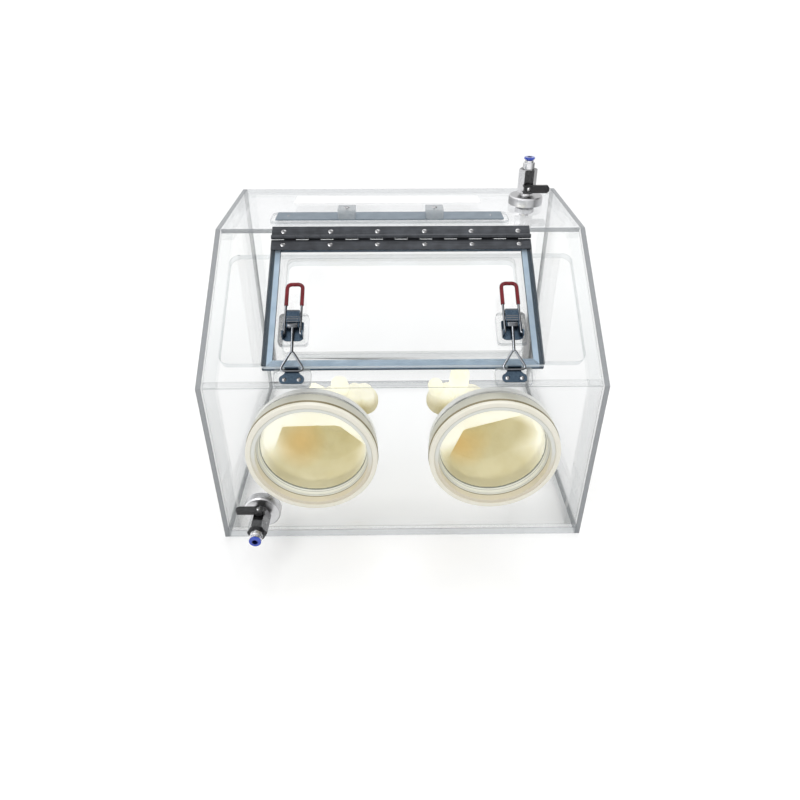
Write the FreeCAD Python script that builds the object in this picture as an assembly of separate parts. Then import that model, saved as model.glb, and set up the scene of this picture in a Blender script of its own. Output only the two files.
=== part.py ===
import FreeCAD, Part
import math
import os
from FreeCAD import Rotation, Vector

# Acrylic glove box in millimetres: X to the right, Y to the back, Z up,
# with the origin in the middle of the underside of the base.

# Case sizes
case_width = 600.0
case_depth = 475.0
case_height = 450.0
front_height = 295.0
top_depth = 235.0
side_thickness = 8.0
wall_thickness = 8.0
base_thickness = 15.0

# Corner strips glued inside each side panel
strip_width = 18.0
strip_thickness = 12.0

# Door opening in the sloping panel, measured up the slope from the front fold
opening_width = 360.0
opening_low = 60.0
opening_top_margin = 58.7
opening_corner = 10.0
doubler_margin = 45.0
doubler_thickness = 12.0
doubler_corner = 15.0

# Door, its gasket and its hinge
door_width = 410.0
door_low = 28.7
door_top_margin = 33.0
door_thickness = 8.0
door_corner = 3.0
gasket_width = 14.0
gasket_thickness = 6.0
seal_gap = 0.3
leaf_width = 20.0
leaf_thickness = 1.2
knuckle_radius = 3.5
knuckle_count = 21
knuckle_gap = 0.3
pin_radius = 1.5
pin_clearance = 0.05
pin_offset = 2.5
notch_clearance = 0.4
spacer_overhang = 1.0
leaf_screw_count = 6
leaf_screw_margin = 18.75
leaf_screw_head_radius = 4.0
leaf_screw_head_height = 1.0
leaf_screw_radius = 1.7
leaf_screw_length = 7.0

# Toggle latches
latch_side_margin = 45.0
latch_pad_width = 44.0
latch_pad_length = 52.0
latch_pad_thickness = 8.0
latch_pad_low = 60.0
pad_corner = 6.0
sheet_steel = 1.5
latch_base_length = 32.0
latch_base_offset = 5.0
latch_base_width = 30.6
latch_base_corner = 4.5
pivot_offset = 14.0
pivot_rise = 6.0
ear_radius = 5.0
ear_thickness = 2.0
wire_radius = 1.75
wire_clearance = 0.1
handle_half_width = 11.5
handle_length = 84.0
handle_bend = 8.0
grip_thickness = 1.2
grip_length = 37.0
saddle_start = 17.0
saddle_length = 21.0
saddle_half_width = 13.0
saddle_gap = 0.1
swivel_offset = 13.0
swivel_radius = 3.8
swivel_half_width = 7.2
saddle_wall_inner = 7.8
stem_radius = 2.2
stem_end_gap = 0.5
apex_distance = 24.0
apex_drop = 5.5
hook_half_width = 18.5
hook_bend = 4.0
base_screw_radius = 1.4
base_screw_head_radius = 2.4
base_screw_head_height = 0.9

# Keepers on the slope below the door
keeper_pad_width = 54.0
keeper_pad_low = 0.5
keeper_pad_length = 27.0
keeper_pad_thickness = 10.0
keeper_half_width = 18.0
keeper_end_radius = 6.5
keeper_flare_inset = 1.0
keeper_flare_start = 3.25
keeper_flare_length = 10.4
keeper_low = 2.5
keeper_neck_half_width = 10.0
keeper_neck_length = 23.0
lip_height = 7.0
lip_clearance = 0.35
keeper_screw_spread = 10.5
keeper_screw_head_radius = 3.4
keeper_screw_head_height = 2.0
keeper_screw_radius = 1.6
keeper_screw_length = 7.0

# Glove ports
port_spacing = 275.0
port_drop = 108.0
port_outer_radius = 99.0
port_projection = 28.0
port_bore_radius = 85.0
port_rear_bore_radius = 82.0
port_step_depth = 14.0
panel_hole_radius = 88.0
spigot_clearance = 0.2
clamp_ring_radius = 97.0
clamp_ring_thickness = 10.0
spigot_overlap = 2.0
groove_depth = 4.0
groove_width = 5.0
groove_setback = 7.0
o_ring_gap = 0.15
lip_rounding = 2.0

# Gloves, simple hollow shapes from the port to the finger tips
glove_gap = 0.3
glove_wall = 1.5
glove_mouth = 10.0
sleeve_reach = 112.0
wrist_radius = 40.0
wrist_shift = 26.0
wrist_drop = 16.0
sleeve_fullness = 4.0
palm_reach = 48.0
palm_radius = 34.0
palm_shift = 46.0
finger_radius = 9.5
finger_tip_length = 8.0
finger_tip_radius = 4.5
finger_pitch = 16.0
finger_length = 62.0
finger_count = 4
finger_fan = 11.0
finger_lean = 8.0
thumb_angle = 62.0
thumb_length = 46.0

# Ball valves with push-in fittings, along their own outward axis
top_valve_side_margin = 74.0
top_valve_back_margin = 98.0
front_valve_side_margin = 72.0
front_valve_z = 68.0
valve_bore_radius = 5.0
flange_radius = 30.0
flange_thickness = 15.0
flange_chamfer = 2.0
neck_radius = 11.0
neck_length = 5.0
tail_radius = 9.0
tail_length = 21.0
tail_clearance = 0.2
nut_flats = 30.0
nut_thickness = 6.0
washer_radius = 16.0
washer_thickness = 1.5
body_flats = 28.0
body_length = 40.0
edge_break = 1.0
ball_radius = 8.0
ball_bore_radius = 4.5
ball_clearance = 0.15
ball_height = 30.0
cavity_radius = 8.6
seat_length = 4.0
stem_size = 3.0
stem_clearance = 0.05
stem_engagement = 2.0
lever_gap = 0.3
lever_hub_radius = 8.0
lever_hub_height = 8.0
lever_arm_thickness = 6.0
lever_arm_width = 13.0
lever_arm_length = 36.0
lever_tip_length = 3.0
lever_tip_inset = 4.0
lever_ear_reach = 11.5
lever_ear_size = 3.0
lever_ear_angle = 32.0
lever_screw_head_radius = 3.6
lever_screw_head_height = 2.2
lever_screw_radius = 1.5
lever_screw_length = 6.0
fitting_radius = 10.2
fitting_length = 11.0
fitting_neck_radius = 7.5
fitting_neck_length = 3.5
fitting_thread_radius = 6.5
fitting_thread_length = 10.0
tube_radius = 4.1
tube_socket_depth = 12.0
flow_radius = 3.0
collar_sleeve_radius = 5.4
collar_clearance = 0.1
collar_sleeve_length = 7.0
collar_radius = 9.4
collar_thickness = 4.0
collar_travel = 1.5
collar_bore_extra = 0.1

# Fittings on the top panel, where the open door comes to rest
rest_centre_x = -18.0
rest_setback = 30.0
carrier_length = 398.0
carrier_width = 52.0
carrier_thickness = 4.0
carrier_corner = 12.0
carrier_front_margin = 6.0
rest_strip_length = 380.0
rest_strip_width = 40.0
rest_strip_thickness = 1.5
rest_strip_corner = 3.0
rest_block_width = 29.0
rest_block_depth = 30.0
rest_block_height = 15.0
rest_block_corner = 2.0
rest_block_spacing = 146.0
rest_block_shift = 1.5
rest_screw_head_radius = 5.0
rest_screw_head_height = 2.0
rest_screw_radius = 2.0
strip_screw_inset = 20.0
strip_screw_head_radius = 2.2
strip_screw_head_height = 0.8
blank_plate_length = 336.0
blank_plate_width = 45.0
blank_plate_thickness = 1.0
blank_plate_x = -22.0
blank_plate_back_margin = 74.5
blank_plate_corner = 2.0

# Places worked out from the sizes above
half_width = case_width / 2
front_y = -case_depth / 2
back_y = case_depth / 2
fold_top_y = back_y - top_depth
slope_run = fold_top_y - front_y
slope_rise = case_height - front_height
slope_angle = math.degrees(math.atan2(slope_rise, slope_run))
slope_length = math.hypot(slope_run, slope_rise)
inner_half_width = half_width - side_thickness
latch_spacing = door_width - 2 * latch_side_margin
leaf_screw_pitch = (door_width - 2 * leaf_screw_margin) / (leaf_screw_count - 1)
opening_high = slope_length - opening_top_margin
door_high = slope_length - door_top_margin
port_height = front_height - port_drop
door_face = gasket_thickness + door_thickness
hinge_line = door_high + pin_offset
hinge_height = door_face + knuckle_radius
latch_top = door_face + latch_pad_thickness
pivot_line = latch_pad_low + pivot_offset
pivot_height = latch_top + sheet_steel + pivot_rise
swivel_line = pivot_line + swivel_offset
keeper_face = keeper_pad_thickness + sheet_steel
keeper_lip_line = keeper_low + keeper_neck_length - sheet_steel
hook_bar_line = keeper_lip_line - lip_clearance - wire_radius
hook_bar_height = keeper_face + lip_clearance + wire_radius
valve_body_start = flange_thickness + neck_length
valve_body_end = valve_body_start + body_length
fitting_shoulder = valve_body_end + fitting_length
fitting_end = fitting_shoulder + fitting_neck_length
top_valve_x = half_width - top_valve_side_margin
top_valve_y = back_y - top_valve_back_margin
front_valve_x = front_valve_side_margin - half_width
rest_front_y = fold_top_y + rest_setback
blank_plate_y = back_y - blank_plate_back_margin

X_AXIS = Vector(1, 0, 0)
Y_AXIS = Vector(0, 1, 0)
Z_AXIS = Vector(0, 0, 1)

# The sloping panel's own frame: X across, Y up the slope, Z out of the panel
SLOPE = FreeCAD.Placement(Vector(0, front_y, front_height), Rotation(X_AXIS, slope_angle))

os.makedirs("parts", exist_ok=True)


def save(name, *solids):
    shape = solids[0] if len(solids) == 1 else Part.makeCompound(list(solids))
    shape.exportStep("parts/" + name + ".step")


def placed(placement, shape):
    copy = shape.copy()
    copy.Placement = placement.multiply(copy.Placement)
    return copy


def block(x0, x1, y0, y1, z0, z1):
    return Part.makeBox(x1 - x0, y1 - y0, z1 - z0, Vector(x0, y0, z0))


def cylinder(radius, start, end):
    axis = end.sub(start)
    return Part.makeCylinder(radius, axis.Length, start, axis)


def profile_along_x(points, x0, x1):
    """A prism from a closed outline of (y, z) points."""
    corners = [Vector(x0, y, z) for y, z in points]
    face = Part.Face(Part.makePolygon(corners + corners[:1]))
    return face.extrude(Vector(x1 - x0, 0, 0))


def rounded_plate(x0, x1, y0, y1, z0, z1, radius):
    plate = block(x0, x1, y0, y1, z0, z1)
    uprights = [edge for edge in plate.Edges if abs(edge.tangentAt(edge.FirstParameter).z) > 0.9]
    return plate.makeFillet(radius, uprights)


def revolved(points):
    """A turned solid about Z from (radius, height) points."""
    corners = [Vector(r, 0, z) for r, z in points]
    face = Part.Face(Part.makePolygon(corners + corners[:1]))
    return face.revolve(Vector(0, 0, 0), Z_AXIS, 360.0)


def hexagon(flats, z0, z1):
    radius = flats / math.sqrt(3)
    corners = [Vector(radius * math.cos(math.radians(a)), radius * math.sin(math.radians(a)), z0)
               for a in range(0, 360, 60)]
    face = Part.Face(Part.makePolygon(corners + corners[:1]))
    return face.extrude(Vector(0, 0, z1 - z0))


def wire_path(points, bend, closed=False):
    """Straight runs joined by tangent arcs at the inner points."""
    edges = []
    count = len(points)
    starts = []
    for index in range(count):
        if not closed and index in (0, count - 1):
            starts.append((points[index], points[index]))
            continue
        here = points[index]
        back = points[index - 1].sub(here).normalize()
        on = points[(index + 1) % count].sub(here).normalize()
        half = math.acos(max(-1.0, min(1.0, back.dot(on)))) / 2
        reach = bend / math.tan(half)
        enter = here.add(back * reach)
        leave = here.add(on * reach)
        toward = back.add(on).normalize()
        middle = here.add(toward * (bend / math.sin(half) - bend))
        edges.append((index, Part.Arc(enter, middle, leave).toShape()))
        starts.append((enter, leave))
    arcs = dict(edges)
    ordered = []
    for index in range(count):
        if index in arcs:
            ordered.append(arcs[index])
        if index < count - 1 or closed:
            leave = starts[index][1]
            enter = starts[(index + 1) % count][0]
            ordered.append(Part.LineSegment(leave, enter).toShape())
    return Part.Wire(ordered)


def round_bar(path, radius):
    """A round wire of this radius swept along the path."""
    first = path.Edges[0]
    start = first.valueAt(first.FirstParameter)
    along = first.tangentAt(first.FirstParameter)
    ring = Part.Wire(Part.makeCircle(radius, start, along))
    return path.makePipeShell([ring], True, True)


def offset_outline(points, distances):
    """Move each side of a convex outline inward and join the sides again."""
    count = len(points)
    sides = []
    for index in range(count):
        y0, z0 = points[index]
        y1, z1 = points[(index + 1) % count]
        length = math.hypot(y1 - y0, z1 - z0)
        inward = ((z1 - z0) / length, -(y1 - y0) / length)
        shift = distances[index]
        sides.append((y0 + inward[0] * shift, z0 + inward[1] * shift, y1 - y0, z1 - z0))
    corners = []
    for index in range(count):
        ya, za, ua, va = sides[index - 1]
        yb, zb, ub, vb = sides[index]
        step = ((yb - ya) * vb - (zb - za) * ub) / (ua * vb - va * ub)
        corners.append((ya + ua * step, za + va * step))
    return corners


def pan_screw(x, y, face, head_radius, head_height, shank_radius, length):
    """A screw with a low domed head standing on the plane z = face."""
    sphere_radius = (head_radius ** 2 + head_height ** 2) / (2 * head_height)
    centre = Vector(x, y, face + head_height - sphere_radius)
    dome = Part.makeSphere(sphere_radius, centre)
    head = dome.common(Part.makeCylinder(head_radius, head_height, Vector(x, y, face)))
    shank = Part.makeCylinder(shank_radius, length, Vector(x, y, face - length))
    return head.fuse(shank).removeSplitter()


def holes_for(positions, radius, z0, z1):
    return [Part.makeCylinder(radius, z1 - z0, Vector(x, y, z0)) for x, y in positions]


# Case panels
case_outline = [(front_y, 0.0), (front_y, front_height), (fold_top_y, case_height),
                (back_y, case_height), (back_y, 0.0)]
inner = offset_outline(case_outline, [wall_thickness] * 4 + [base_thickness])
strip_inner = offset_outline(inner, [strip_thickness] * 5)


def sloped(x0, x1, y0, y1, z0, z1, radius=None):
    plate = rounded_plate(x0, x1, y0, y1, z0, z1, radius) if radius else block(x0, x1, y0, y1, z0, z1)
    return placed(SLOPE, plate)


def port_centre(side):
    return Vector(side * port_spacing / 2, front_y, port_height)


def make_case():
    span = (-inner_half_width, inner_half_width)
    save("base_panel", block(*span, front_y, back_y, 0.0, base_thickness))
    save("left_side_panel", profile_along_x(case_outline, -half_width, -inner_half_width))
    save("right_side_panel", profile_along_x(case_outline, inner_half_width, half_width))
    back_top = case_height - wall_thickness
    save("back_panel", block(*span, back_y - wall_thickness, back_y, base_thickness, back_top))
    top = profile_along_x([case_outline[2], case_outline[3], (back_y, back_top), inner[2]], *span)
    top = top.cut(Part.makeCylinder(tail_radius + tail_clearance, 4 * wall_thickness,
                                    Vector(top_valve_x, top_valve_y, case_height - 2 * wall_thickness)))
    save("top_panel", top)
    front = profile_along_x([(front_y, base_thickness), case_outline[1], inner[1], inner[0]], *span)
    for side in (-1, 1):
        front = front.cut(Part.makeCylinder(panel_hole_radius, wall_thickness, port_centre(side), Y_AXIS))
    front = front.cut(Part.makeCylinder(tail_radius + tail_clearance, wall_thickness,
                                        Vector(front_valve_x, front_y, front_valve_z), Y_AXIS))
    save("front_lower_panel", front)
    slope = profile_along_x([case_outline[1], case_outline[2], inner[2], inner[1]], *span)
    hole = sloped(-opening_width / 2, opening_width / 2, opening_low, opening_high,
                  -2 * wall_thickness - doubler_thickness, wall_thickness, opening_corner)
    save("front_sloped_panel", slope.cut(hole))
    clear_half = inner_half_width - strip_width
    doubler = sloped(-clear_half, clear_half, doubler_margin, slope_length - doubler_margin,
                     -wall_thickness - doubler_thickness, -wall_thickness, doubler_corner)
    save("opening_doubler", doubler.cut(hole))
    for name, edge in (("left", -1), ("right", 1)):
        strips = []
        for index in range(5):
            after = (index + 1) % 5
            section = [inner[index], inner[after], strip_inner[after], strip_inner[index]]
            x0, x1 = sorted((edge * inner_half_width, edge * clear_half))
            strips.append(profile_along_x(section, x0, x1))
        save(name + "_corner_strips", *strips)


# Piano hinge: two leaves with alternate knuckles on one pin
def knuckle_spans(first):
    length = door_width / knuckle_count
    for index in range(first, knuckle_count, 2):
        x0 = -door_width / 2 + index * length
        yield x0 + knuckle_gap / 2, x0 + length - knuckle_gap / 2


def hinge_leaf(direction, first):
    """One leaf in the slope frame: direction +1 is up the slope, -1 is on the door."""
    far = hinge_line + direction * (pin_offset + leaf_width)
    near = hinge_line + direction * (knuckle_radius + notch_clearance)
    low, high = sorted((near, far))
    face = door_face + leaf_thickness
    pieces = [block(-door_width / 2, door_width / 2, low, high, door_face, face)]
    for x0, x1 in knuckle_spans(first):
        root_low, root_high = sorted((hinge_line, near + direction))
        pieces.append(block(x0, x1, root_low, root_high, door_face, face))
        pieces.append(cylinder(knuckle_radius, Vector(x0, hinge_line, hinge_height),
                               Vector(x1, hinge_line, hinge_height)))
    leaf = pieces[0].fuse(pieces[1:])
    bore = cylinder(pin_radius + pin_clearance, Vector(-door_width, hinge_line, hinge_height),
                    Vector(door_width, hinge_line, hinge_height))
    return leaf.cut(bore).removeSplitter()


def leaf_screw_places(direction):
    line = hinge_line + direction * (pin_offset + leaf_width / 2)
    first = leaf_screw_margin - door_width / 2
    return [(first + leaf_screw_pitch * index, line) for index in range(leaf_screw_count)]


def make_hinge_side(direction, first, leaf_name, screw_name):
    places = leaf_screw_places(direction)
    face = door_face + leaf_thickness
    holes = holes_for(places, leaf_screw_radius, face - leaf_screw_length, face)
    leaf = hinge_leaf(direction, first).cut(holes)
    save(leaf_name, placed(SLOPE, leaf))
    screws = [placed(SLOPE, pan_screw(x, y, face, leaf_screw_head_radius, leaf_screw_head_height,
                                      leaf_screw_radius, leaf_screw_length)) for x, y in places]
    save(screw_name, *screws)
    return holes


def make_hinge():
    holes = make_hinge_side(1, 0, "hinge_fixed_leaf", "hinge_fixed_leaf_screws")
    bar_low = hinge_line + pin_offset
    bar = block(-door_width / 2, door_width / 2, bar_low, bar_low + leaf_width + spacer_overhang,
                0.0, door_face)
    save("hinge_spacer_bar", placed(SLOPE, bar.cut(holes)))
    half = door_width / 2
    pin = cylinder(pin_radius, Vector(-half, hinge_line, hinge_height),
                   Vector(half, hinge_line, hinge_height))
    save("hinge_pin", placed(SLOPE, pin))


# Door panel with a gasket frame of four mitred lengths
def make_door():
    half = door_width / 2
    panel = rounded_plate(-half, half, door_low, door_high, gasket_thickness, door_face, door_corner)
    holes = make_hinge_side(-1, 1, "hinge_door_leaf", "hinge_door_leaf_screws")
    save("door_panel", placed(SLOPE, panel.cut(holes)))
    outer = [Vector(-half, door_low, seal_gap), Vector(half, door_low, seal_gap),
             Vector(half, door_high, seal_gap), Vector(-half, door_high, seal_gap)]
    shift = [(1, 1), (-1, 1), (-1, -1), (1, -1)]
    inside = [corner.add(Vector(sx * gasket_width, sy * gasket_width, 0))
              for corner, (sx, sy) in zip(outer, shift)]
    lengths = []
    for index in range(4):
        after = (index + 1) % 4
        face = Part.Face(Part.makePolygon([outer[index], outer[after], inside[after], inside[index],
                                           outer[index]]))
        lengths.append(placed(SLOPE, face.extrude(Vector(0, 0, gasket_thickness - seal_gap))))
    save("door_gasket", *lengths)


# Toggle latch in the slope frame, centred on x = 0
def latch_base():
    low = latch_pad_low + latch_base_offset
    plate = rounded_plate(-latch_base_width / 2, latch_base_width / 2, low, low + latch_base_length,
                          latch_top, latch_top + sheet_steel, latch_base_corner)
    inner_face = latch_base_width / 2 - ear_thickness
    ears = []
    for x0 in (-latch_base_width / 2, inner_face):
        disc = cylinder(ear_radius, Vector(x0, pivot_line, pivot_height),
                        Vector(x0 + ear_thickness, pivot_line, pivot_height))
        web = block(x0, x0 + ear_thickness, pivot_line - ear_radius, pivot_line + ear_radius,
                    latch_top, pivot_height)
        ears += [disc, web]
    pin_hole = cylinder(wire_radius + wire_clearance,
                        Vector(-latch_base_width, pivot_line, pivot_height),
                        Vector(latch_base_width, pivot_line, pivot_height))
    return plate.fuse(ears).removeSplitter().cut(pin_hole)


def handle_points():
    end = pivot_line + handle_length
    reach = latch_base_width / 2
    places = [(-reach, pivot_line), (-handle_half_width, pivot_line), (-handle_half_width, end),
              (handle_half_width, end), (handle_half_width, pivot_line), (reach, pivot_line)]
    return [Vector(x, y, pivot_height) for x, y in places]


def latch_handle():
    points = handle_points()
    bar = round_bar(wire_path(points[1:5], handle_bend), wire_radius)
    ends = [cylinder(wire_radius, points[0], points[1]), cylinder(wire_radius, points[4], points[5])]
    elbows = [Part.makeSphere(wire_radius, points[1]), Part.makeSphere(wire_radius, points[4])]
    return bar.fuse(ends + elbows).removeSplitter()


def latch_grip():
    points = handle_points()[1:5]
    start = pivot_line + handle_length - grip_length
    points[0] = Vector(points[0].x, start, pivot_height)
    points[3] = Vector(points[3].x, start, pivot_height)
    path = wire_path(points, handle_bend)
    outer = round_bar(path, wire_radius + grip_thickness)
    return outer.cut(round_bar(path, wire_radius))


def latch_saddle():
    """Folded steel channel between the wire arms, carrying the swivel."""
    start = pivot_line + saddle_start
    end = start + saddle_length
    over = pivot_height + wire_radius + saddle_gap
    top = rounded_plate(-saddle_half_width, saddle_half_width, start, end, over, over + sheet_steel,
                        sheet_steel)
    walls = []
    outer_face = saddle_wall_inner + sheet_steel
    for x0 in (-outer_face, saddle_wall_inner):
        walls.append(block(x0, x0 + sheet_steel, swivel_line, end, pivot_height - swivel_radius, over))
        walls.append(cylinder(swivel_radius, Vector(x0, swivel_line, pivot_height),
                              Vector(x0 + sheet_steel, swivel_line, pivot_height)))
    channel = top.fuse(walls).removeSplitter()
    pin_hole = cylinder(wire_radius + wire_clearance, Vector(-case_width, swivel_line, pivot_height),
                        Vector(case_width, swivel_line, pivot_height))
    return channel.cut(pin_hole)


def latch_hook():
    """Swivel barrel and the stem with its triangular loop."""
    centre = Vector(0, swivel_line, pivot_height)
    barrel = cylinder(swivel_radius, Vector(-swivel_half_width, swivel_line, pivot_height),
                      Vector(swivel_half_width, swivel_line, pivot_height))
    stub = saddle_wall_inner + sheet_steel
    pins = cylinder(wire_radius, Vector(-stub, swivel_line, pivot_height),
                    Vector(stub, swivel_line, pivot_height))
    apex = Vector(0, pivot_line - apex_distance, pivot_height - apex_drop)
    along = centre.sub(apex).normalize()
    stem_end = saddle_start - swivel_offset - stem_end_gap
    stem = cylinder(stem_radius, apex.sub(along * hook_bend), centre.add(along * stem_end))
    corners = [apex, Vector(-hook_half_width, hook_bar_line, hook_bar_height),
               Vector(hook_half_width, hook_bar_line, hook_bar_height)]
    middle = Vector(0, hook_bar_line, hook_bar_height)
    path = wire_path([middle, corners[1], corners[0], corners[2], middle], hook_bend)
    loop = round_bar(path, wire_radius)
    swivel = barrel.fuse(pins).removeSplitter().cut(stem)
    return swivel, stem.fuse(loop)


def base_screw_places():
    low = latch_pad_low + latch_base_offset
    edge = latch_base_length - 2 * base_screw_head_radius
    return [(x, low + edge) for x in (-swivel_half_width, swivel_half_width)]


def keeper_plate():
    end = keeper_half_width - keeper_end_radius
    centre_line = keeper_low + keeper_end_radius
    plate = block(-end, end, keeper_low, keeper_low + 2 * keeper_end_radius,
                  keeper_pad_thickness, keeper_face)
    ends = [cylinder(keeper_end_radius, Vector(x, centre_line, keeper_pad_thickness),
                     Vector(x, centre_line, keeper_face)) for x in (-end, end)]
    lip_end = keeper_lip_line + sheet_steel
    neck = block(-keeper_neck_half_width, keeper_neck_half_width, centre_line, lip_end,
                 keeper_pad_thickness, keeper_face)
    wide = keeper_half_width - keeper_flare_inset
    flare_low = centre_line + keeper_flare_start
    flare_high = centre_line + keeper_flare_length
    shoulder = [Vector(x, y, keeper_pad_thickness) for x, y in (
        (-wide, flare_low), (wide, flare_low),
        (keeper_neck_half_width, flare_high), (-keeper_neck_half_width, flare_high))]
    flare = Part.Face(Part.makePolygon(shoulder + shoulder[:1])).extrude(Vector(0, 0, sheet_steel))
    lip = block(-keeper_neck_half_width, keeper_neck_half_width, keeper_lip_line, lip_end,
                keeper_pad_thickness, keeper_face + lip_height)
    return plate.fuse(ends + [neck, flare, lip]).removeSplitter()


def make_latches():
    half_pad = latch_pad_width / 2
    pad_body = rounded_plate(-half_pad, half_pad, latch_pad_low, latch_pad_low + latch_pad_length,
                             door_face, latch_top, pad_corner)
    base_holes = holes_for(base_screw_places(), base_screw_radius, latch_top - latch_pad_thickness / 2,
                           latch_top + sheet_steel)
    pad_body = pad_body.cut(base_holes)
    base = latch_base().cut(base_holes)
    base_screws = [pan_screw(x, y, latch_top + sheet_steel, base_screw_head_radius,
                             base_screw_head_height, base_screw_radius, latch_pad_thickness / 2)
                   for x, y in base_screw_places()]
    screw_line = keeper_low + keeper_end_radius
    keeper_places = [(-keeper_screw_spread, screw_line), (keeper_screw_spread, screw_line)]
    keeper_holes = holes_for(keeper_places, keeper_screw_radius,
                             keeper_face - keeper_screw_length, keeper_face)
    half_keeper_pad = keeper_pad_width / 2
    keeper_pad = rounded_plate(-half_keeper_pad, half_keeper_pad, keeper_pad_low,
                               keeper_pad_low + keeper_pad_length, 0.0, keeper_pad_thickness, pad_corner)
    keeper_pad = keeper_pad.cut(keeper_holes)
    keeper = keeper_plate().cut(keeper_holes)
    keeper_screws = [pan_screw(x, y, keeper_face, keeper_screw_head_radius, keeper_screw_head_height,
                               keeper_screw_radius, keeper_screw_length) for x, y in keeper_places]
    handle = latch_handle()
    grip = latch_grip()
    saddle = latch_saddle()
    swivel, loop = latch_hook()
    groups = {name: [] for name in ("latch_pads", "latch_bases", "latch_base_screws",
                                    "keeper_pads", "keeper_plates", "keeper_screws")}
    for name, side in (("left", -1), ("right", 1)):
        shift = SLOPE.multiply(FreeCAD.Placement(Vector(side * latch_spacing / 2, 0, 0), Rotation()))
        groups["latch_pads"].append(placed(shift, pad_body))
        groups["latch_bases"].append(placed(shift, base))
        groups["latch_base_screws"] += [placed(shift, screw) for screw in base_screws]
        groups["keeper_pads"].append(placed(shift, keeper_pad))
        groups["keeper_plates"].append(placed(shift, keeper))
        groups["keeper_screws"] += [placed(shift, screw) for screw in keeper_screws]
        save(name + "_latch_handle", placed(shift, handle))
        save(name + "_latch_grip", placed(shift, grip))
        save(name + "_latch_saddle", placed(shift, saddle))
        save(name + "_latch_hook", placed(shift, swivel), placed(shift, loop))
    for name, solids in groups.items():
        save(name, *solids)


# Glove ports: turned rings whose axis is Z here and -Y on the box
def port_ring():
    back = wall_thickness + clamp_ring_thickness + spigot_overlap
    spigot = panel_hole_radius - spigot_clearance
    front = port_projection
    groove_front = front - groove_setback
    groove_back = groove_front - groove_width
    step = front - port_step_depth
    rounding = lip_rounding
    outline_points = [(port_rear_bore_radius, -back), (spigot, -back), (spigot, 0.0),
                      (port_outer_radius, 0.0), (port_outer_radius, groove_back),
                      (port_outer_radius - groove_depth, groove_back),
                      (port_outer_radius - groove_depth, groove_front),
                      (port_outer_radius, groove_front), (port_outer_radius, front - rounding),
                      (port_outer_radius - rounding, front), (port_bore_radius + rounding / 2, front),
                      (port_bore_radius, front - rounding / 2), (port_bore_radius, step),
                      (port_rear_bore_radius, step)]
    return revolved(outline_points)


def port_o_ring():
    section = (groove_width - 2 * o_ring_gap) / 2
    middle = port_projection - groove_setback - groove_width / 2
    return Part.makeTorus(port_outer_radius - groove_depth + o_ring_gap + section, section,
                          Vector(0, 0, middle))


def port_clamp_ring():
    face = -wall_thickness
    return revolved([(panel_hole_radius, face - clamp_ring_thickness), (clamp_ring_radius, face
                     - clamp_ring_thickness), (clamp_ring_radius, face), (panel_hole_radius, face)])


def circle_at(x, depth, z, radius):
    return Part.Wire(Part.makeCircle(radius, Vector(x, depth, z), Y_AXIS))


def finger(root, lean, length):
    """A straight finger with a blunt tip, leaning from upright by an angle in degrees."""
    along = Vector(math.sin(math.radians(lean)), 0, math.cos(math.radians(lean)))
    end = root.add(along * length)
    tip = Part.makeCone(finger_radius, finger_tip_radius, finger_tip_length, end, along)
    return [cylinder(finger_radius, root, end), tip]


def glove(side):
    """Hollow sleeve from the port to the wrist, with a hand turned up at its end."""
    mouth = port_rear_bore_radius - glove_gap
    straight = wall_thickness + clamp_ring_thickness + 3 * spigot_overlap
    inward = -side
    stations = [(0.0, -glove_mouth, 0.0, mouth), (0.0, straight, 0.0, mouth),
                (inward * wrist_shift / 3, (straight + sleeve_reach) / 2, -wrist_drop / 2,
                 (mouth + wrist_radius) / 2 + sleeve_fullness),
                (inward * wrist_shift, sleeve_reach, -wrist_drop, wrist_radius)]
    outer = [circle_at(*station) for station in stations]
    hollow = [circle_at(x, depth, z, radius - glove_wall) for x, depth, z, radius in stations]
    sleeve = Part.makeLoft(outer, True, True)
    inside = Part.makeLoft(hollow, True, True)
    palm_depth = palm_reach + sleeve_reach - wrist_radius / 2
    palm_centre = Vector(inward * palm_shift, palm_depth, -wrist_drop / 2)
    wrist = Vector(inward * wrist_shift, sleeve_reach, -wrist_drop)
    toward = palm_centre.sub(wrist)
    heel = Part.makeCone(wrist_radius, palm_radius, toward.Length, wrist, toward)
    palm = Part.makeSphere(palm_radius, palm_centre)
    fingers = finger(palm_centre, -inward * thumb_angle, thumb_length)
    for index in range(finger_count):
        spread = index - (finger_count - 1) / 2
        root = palm_centre.add(Vector(spread * finger_pitch, 0, palm_radius / 2))
        fingers += finger(root, spread * finger_fan + inward * finger_lean, finger_length)
    return sleeve.fuse([heel, palm] + fingers).cut(inside)


def make_ports():
    turn = Rotation(X_AXIS, 90)
    rings, seals = [], []
    for name, side in (("left", -1), ("right", 1)):
        place = FreeCAD.Placement(port_centre(side), turn)
        save(name + "_port_ring", placed(place, port_ring()))
        rings.append(placed(place, port_clamp_ring()))
        seals.append(placed(place, port_o_ring()))
        save(name + "_glove", placed(FreeCAD.Placement(port_centre(side), Rotation()), glove(side)))
    save("port_clamp_rings", *rings)
    save("port_o_rings", *seals)


# Ball valve along Z from the panel face, lever on its -Y side pointing +X
def valve_flange():
    chamfer = flange_chamfer
    outline_points = [(valve_bore_radius, -tail_length), (tail_radius, -tail_length), (tail_radius, 0.0),
                      (flange_radius, 0.0), (flange_radius, flange_thickness - chamfer),
                      (flange_radius - chamfer, flange_thickness), (neck_radius, flange_thickness),
                      (neck_radius, valve_body_start), (valve_bore_radius, valve_body_start)]
    return revolved(outline_points)


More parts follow.
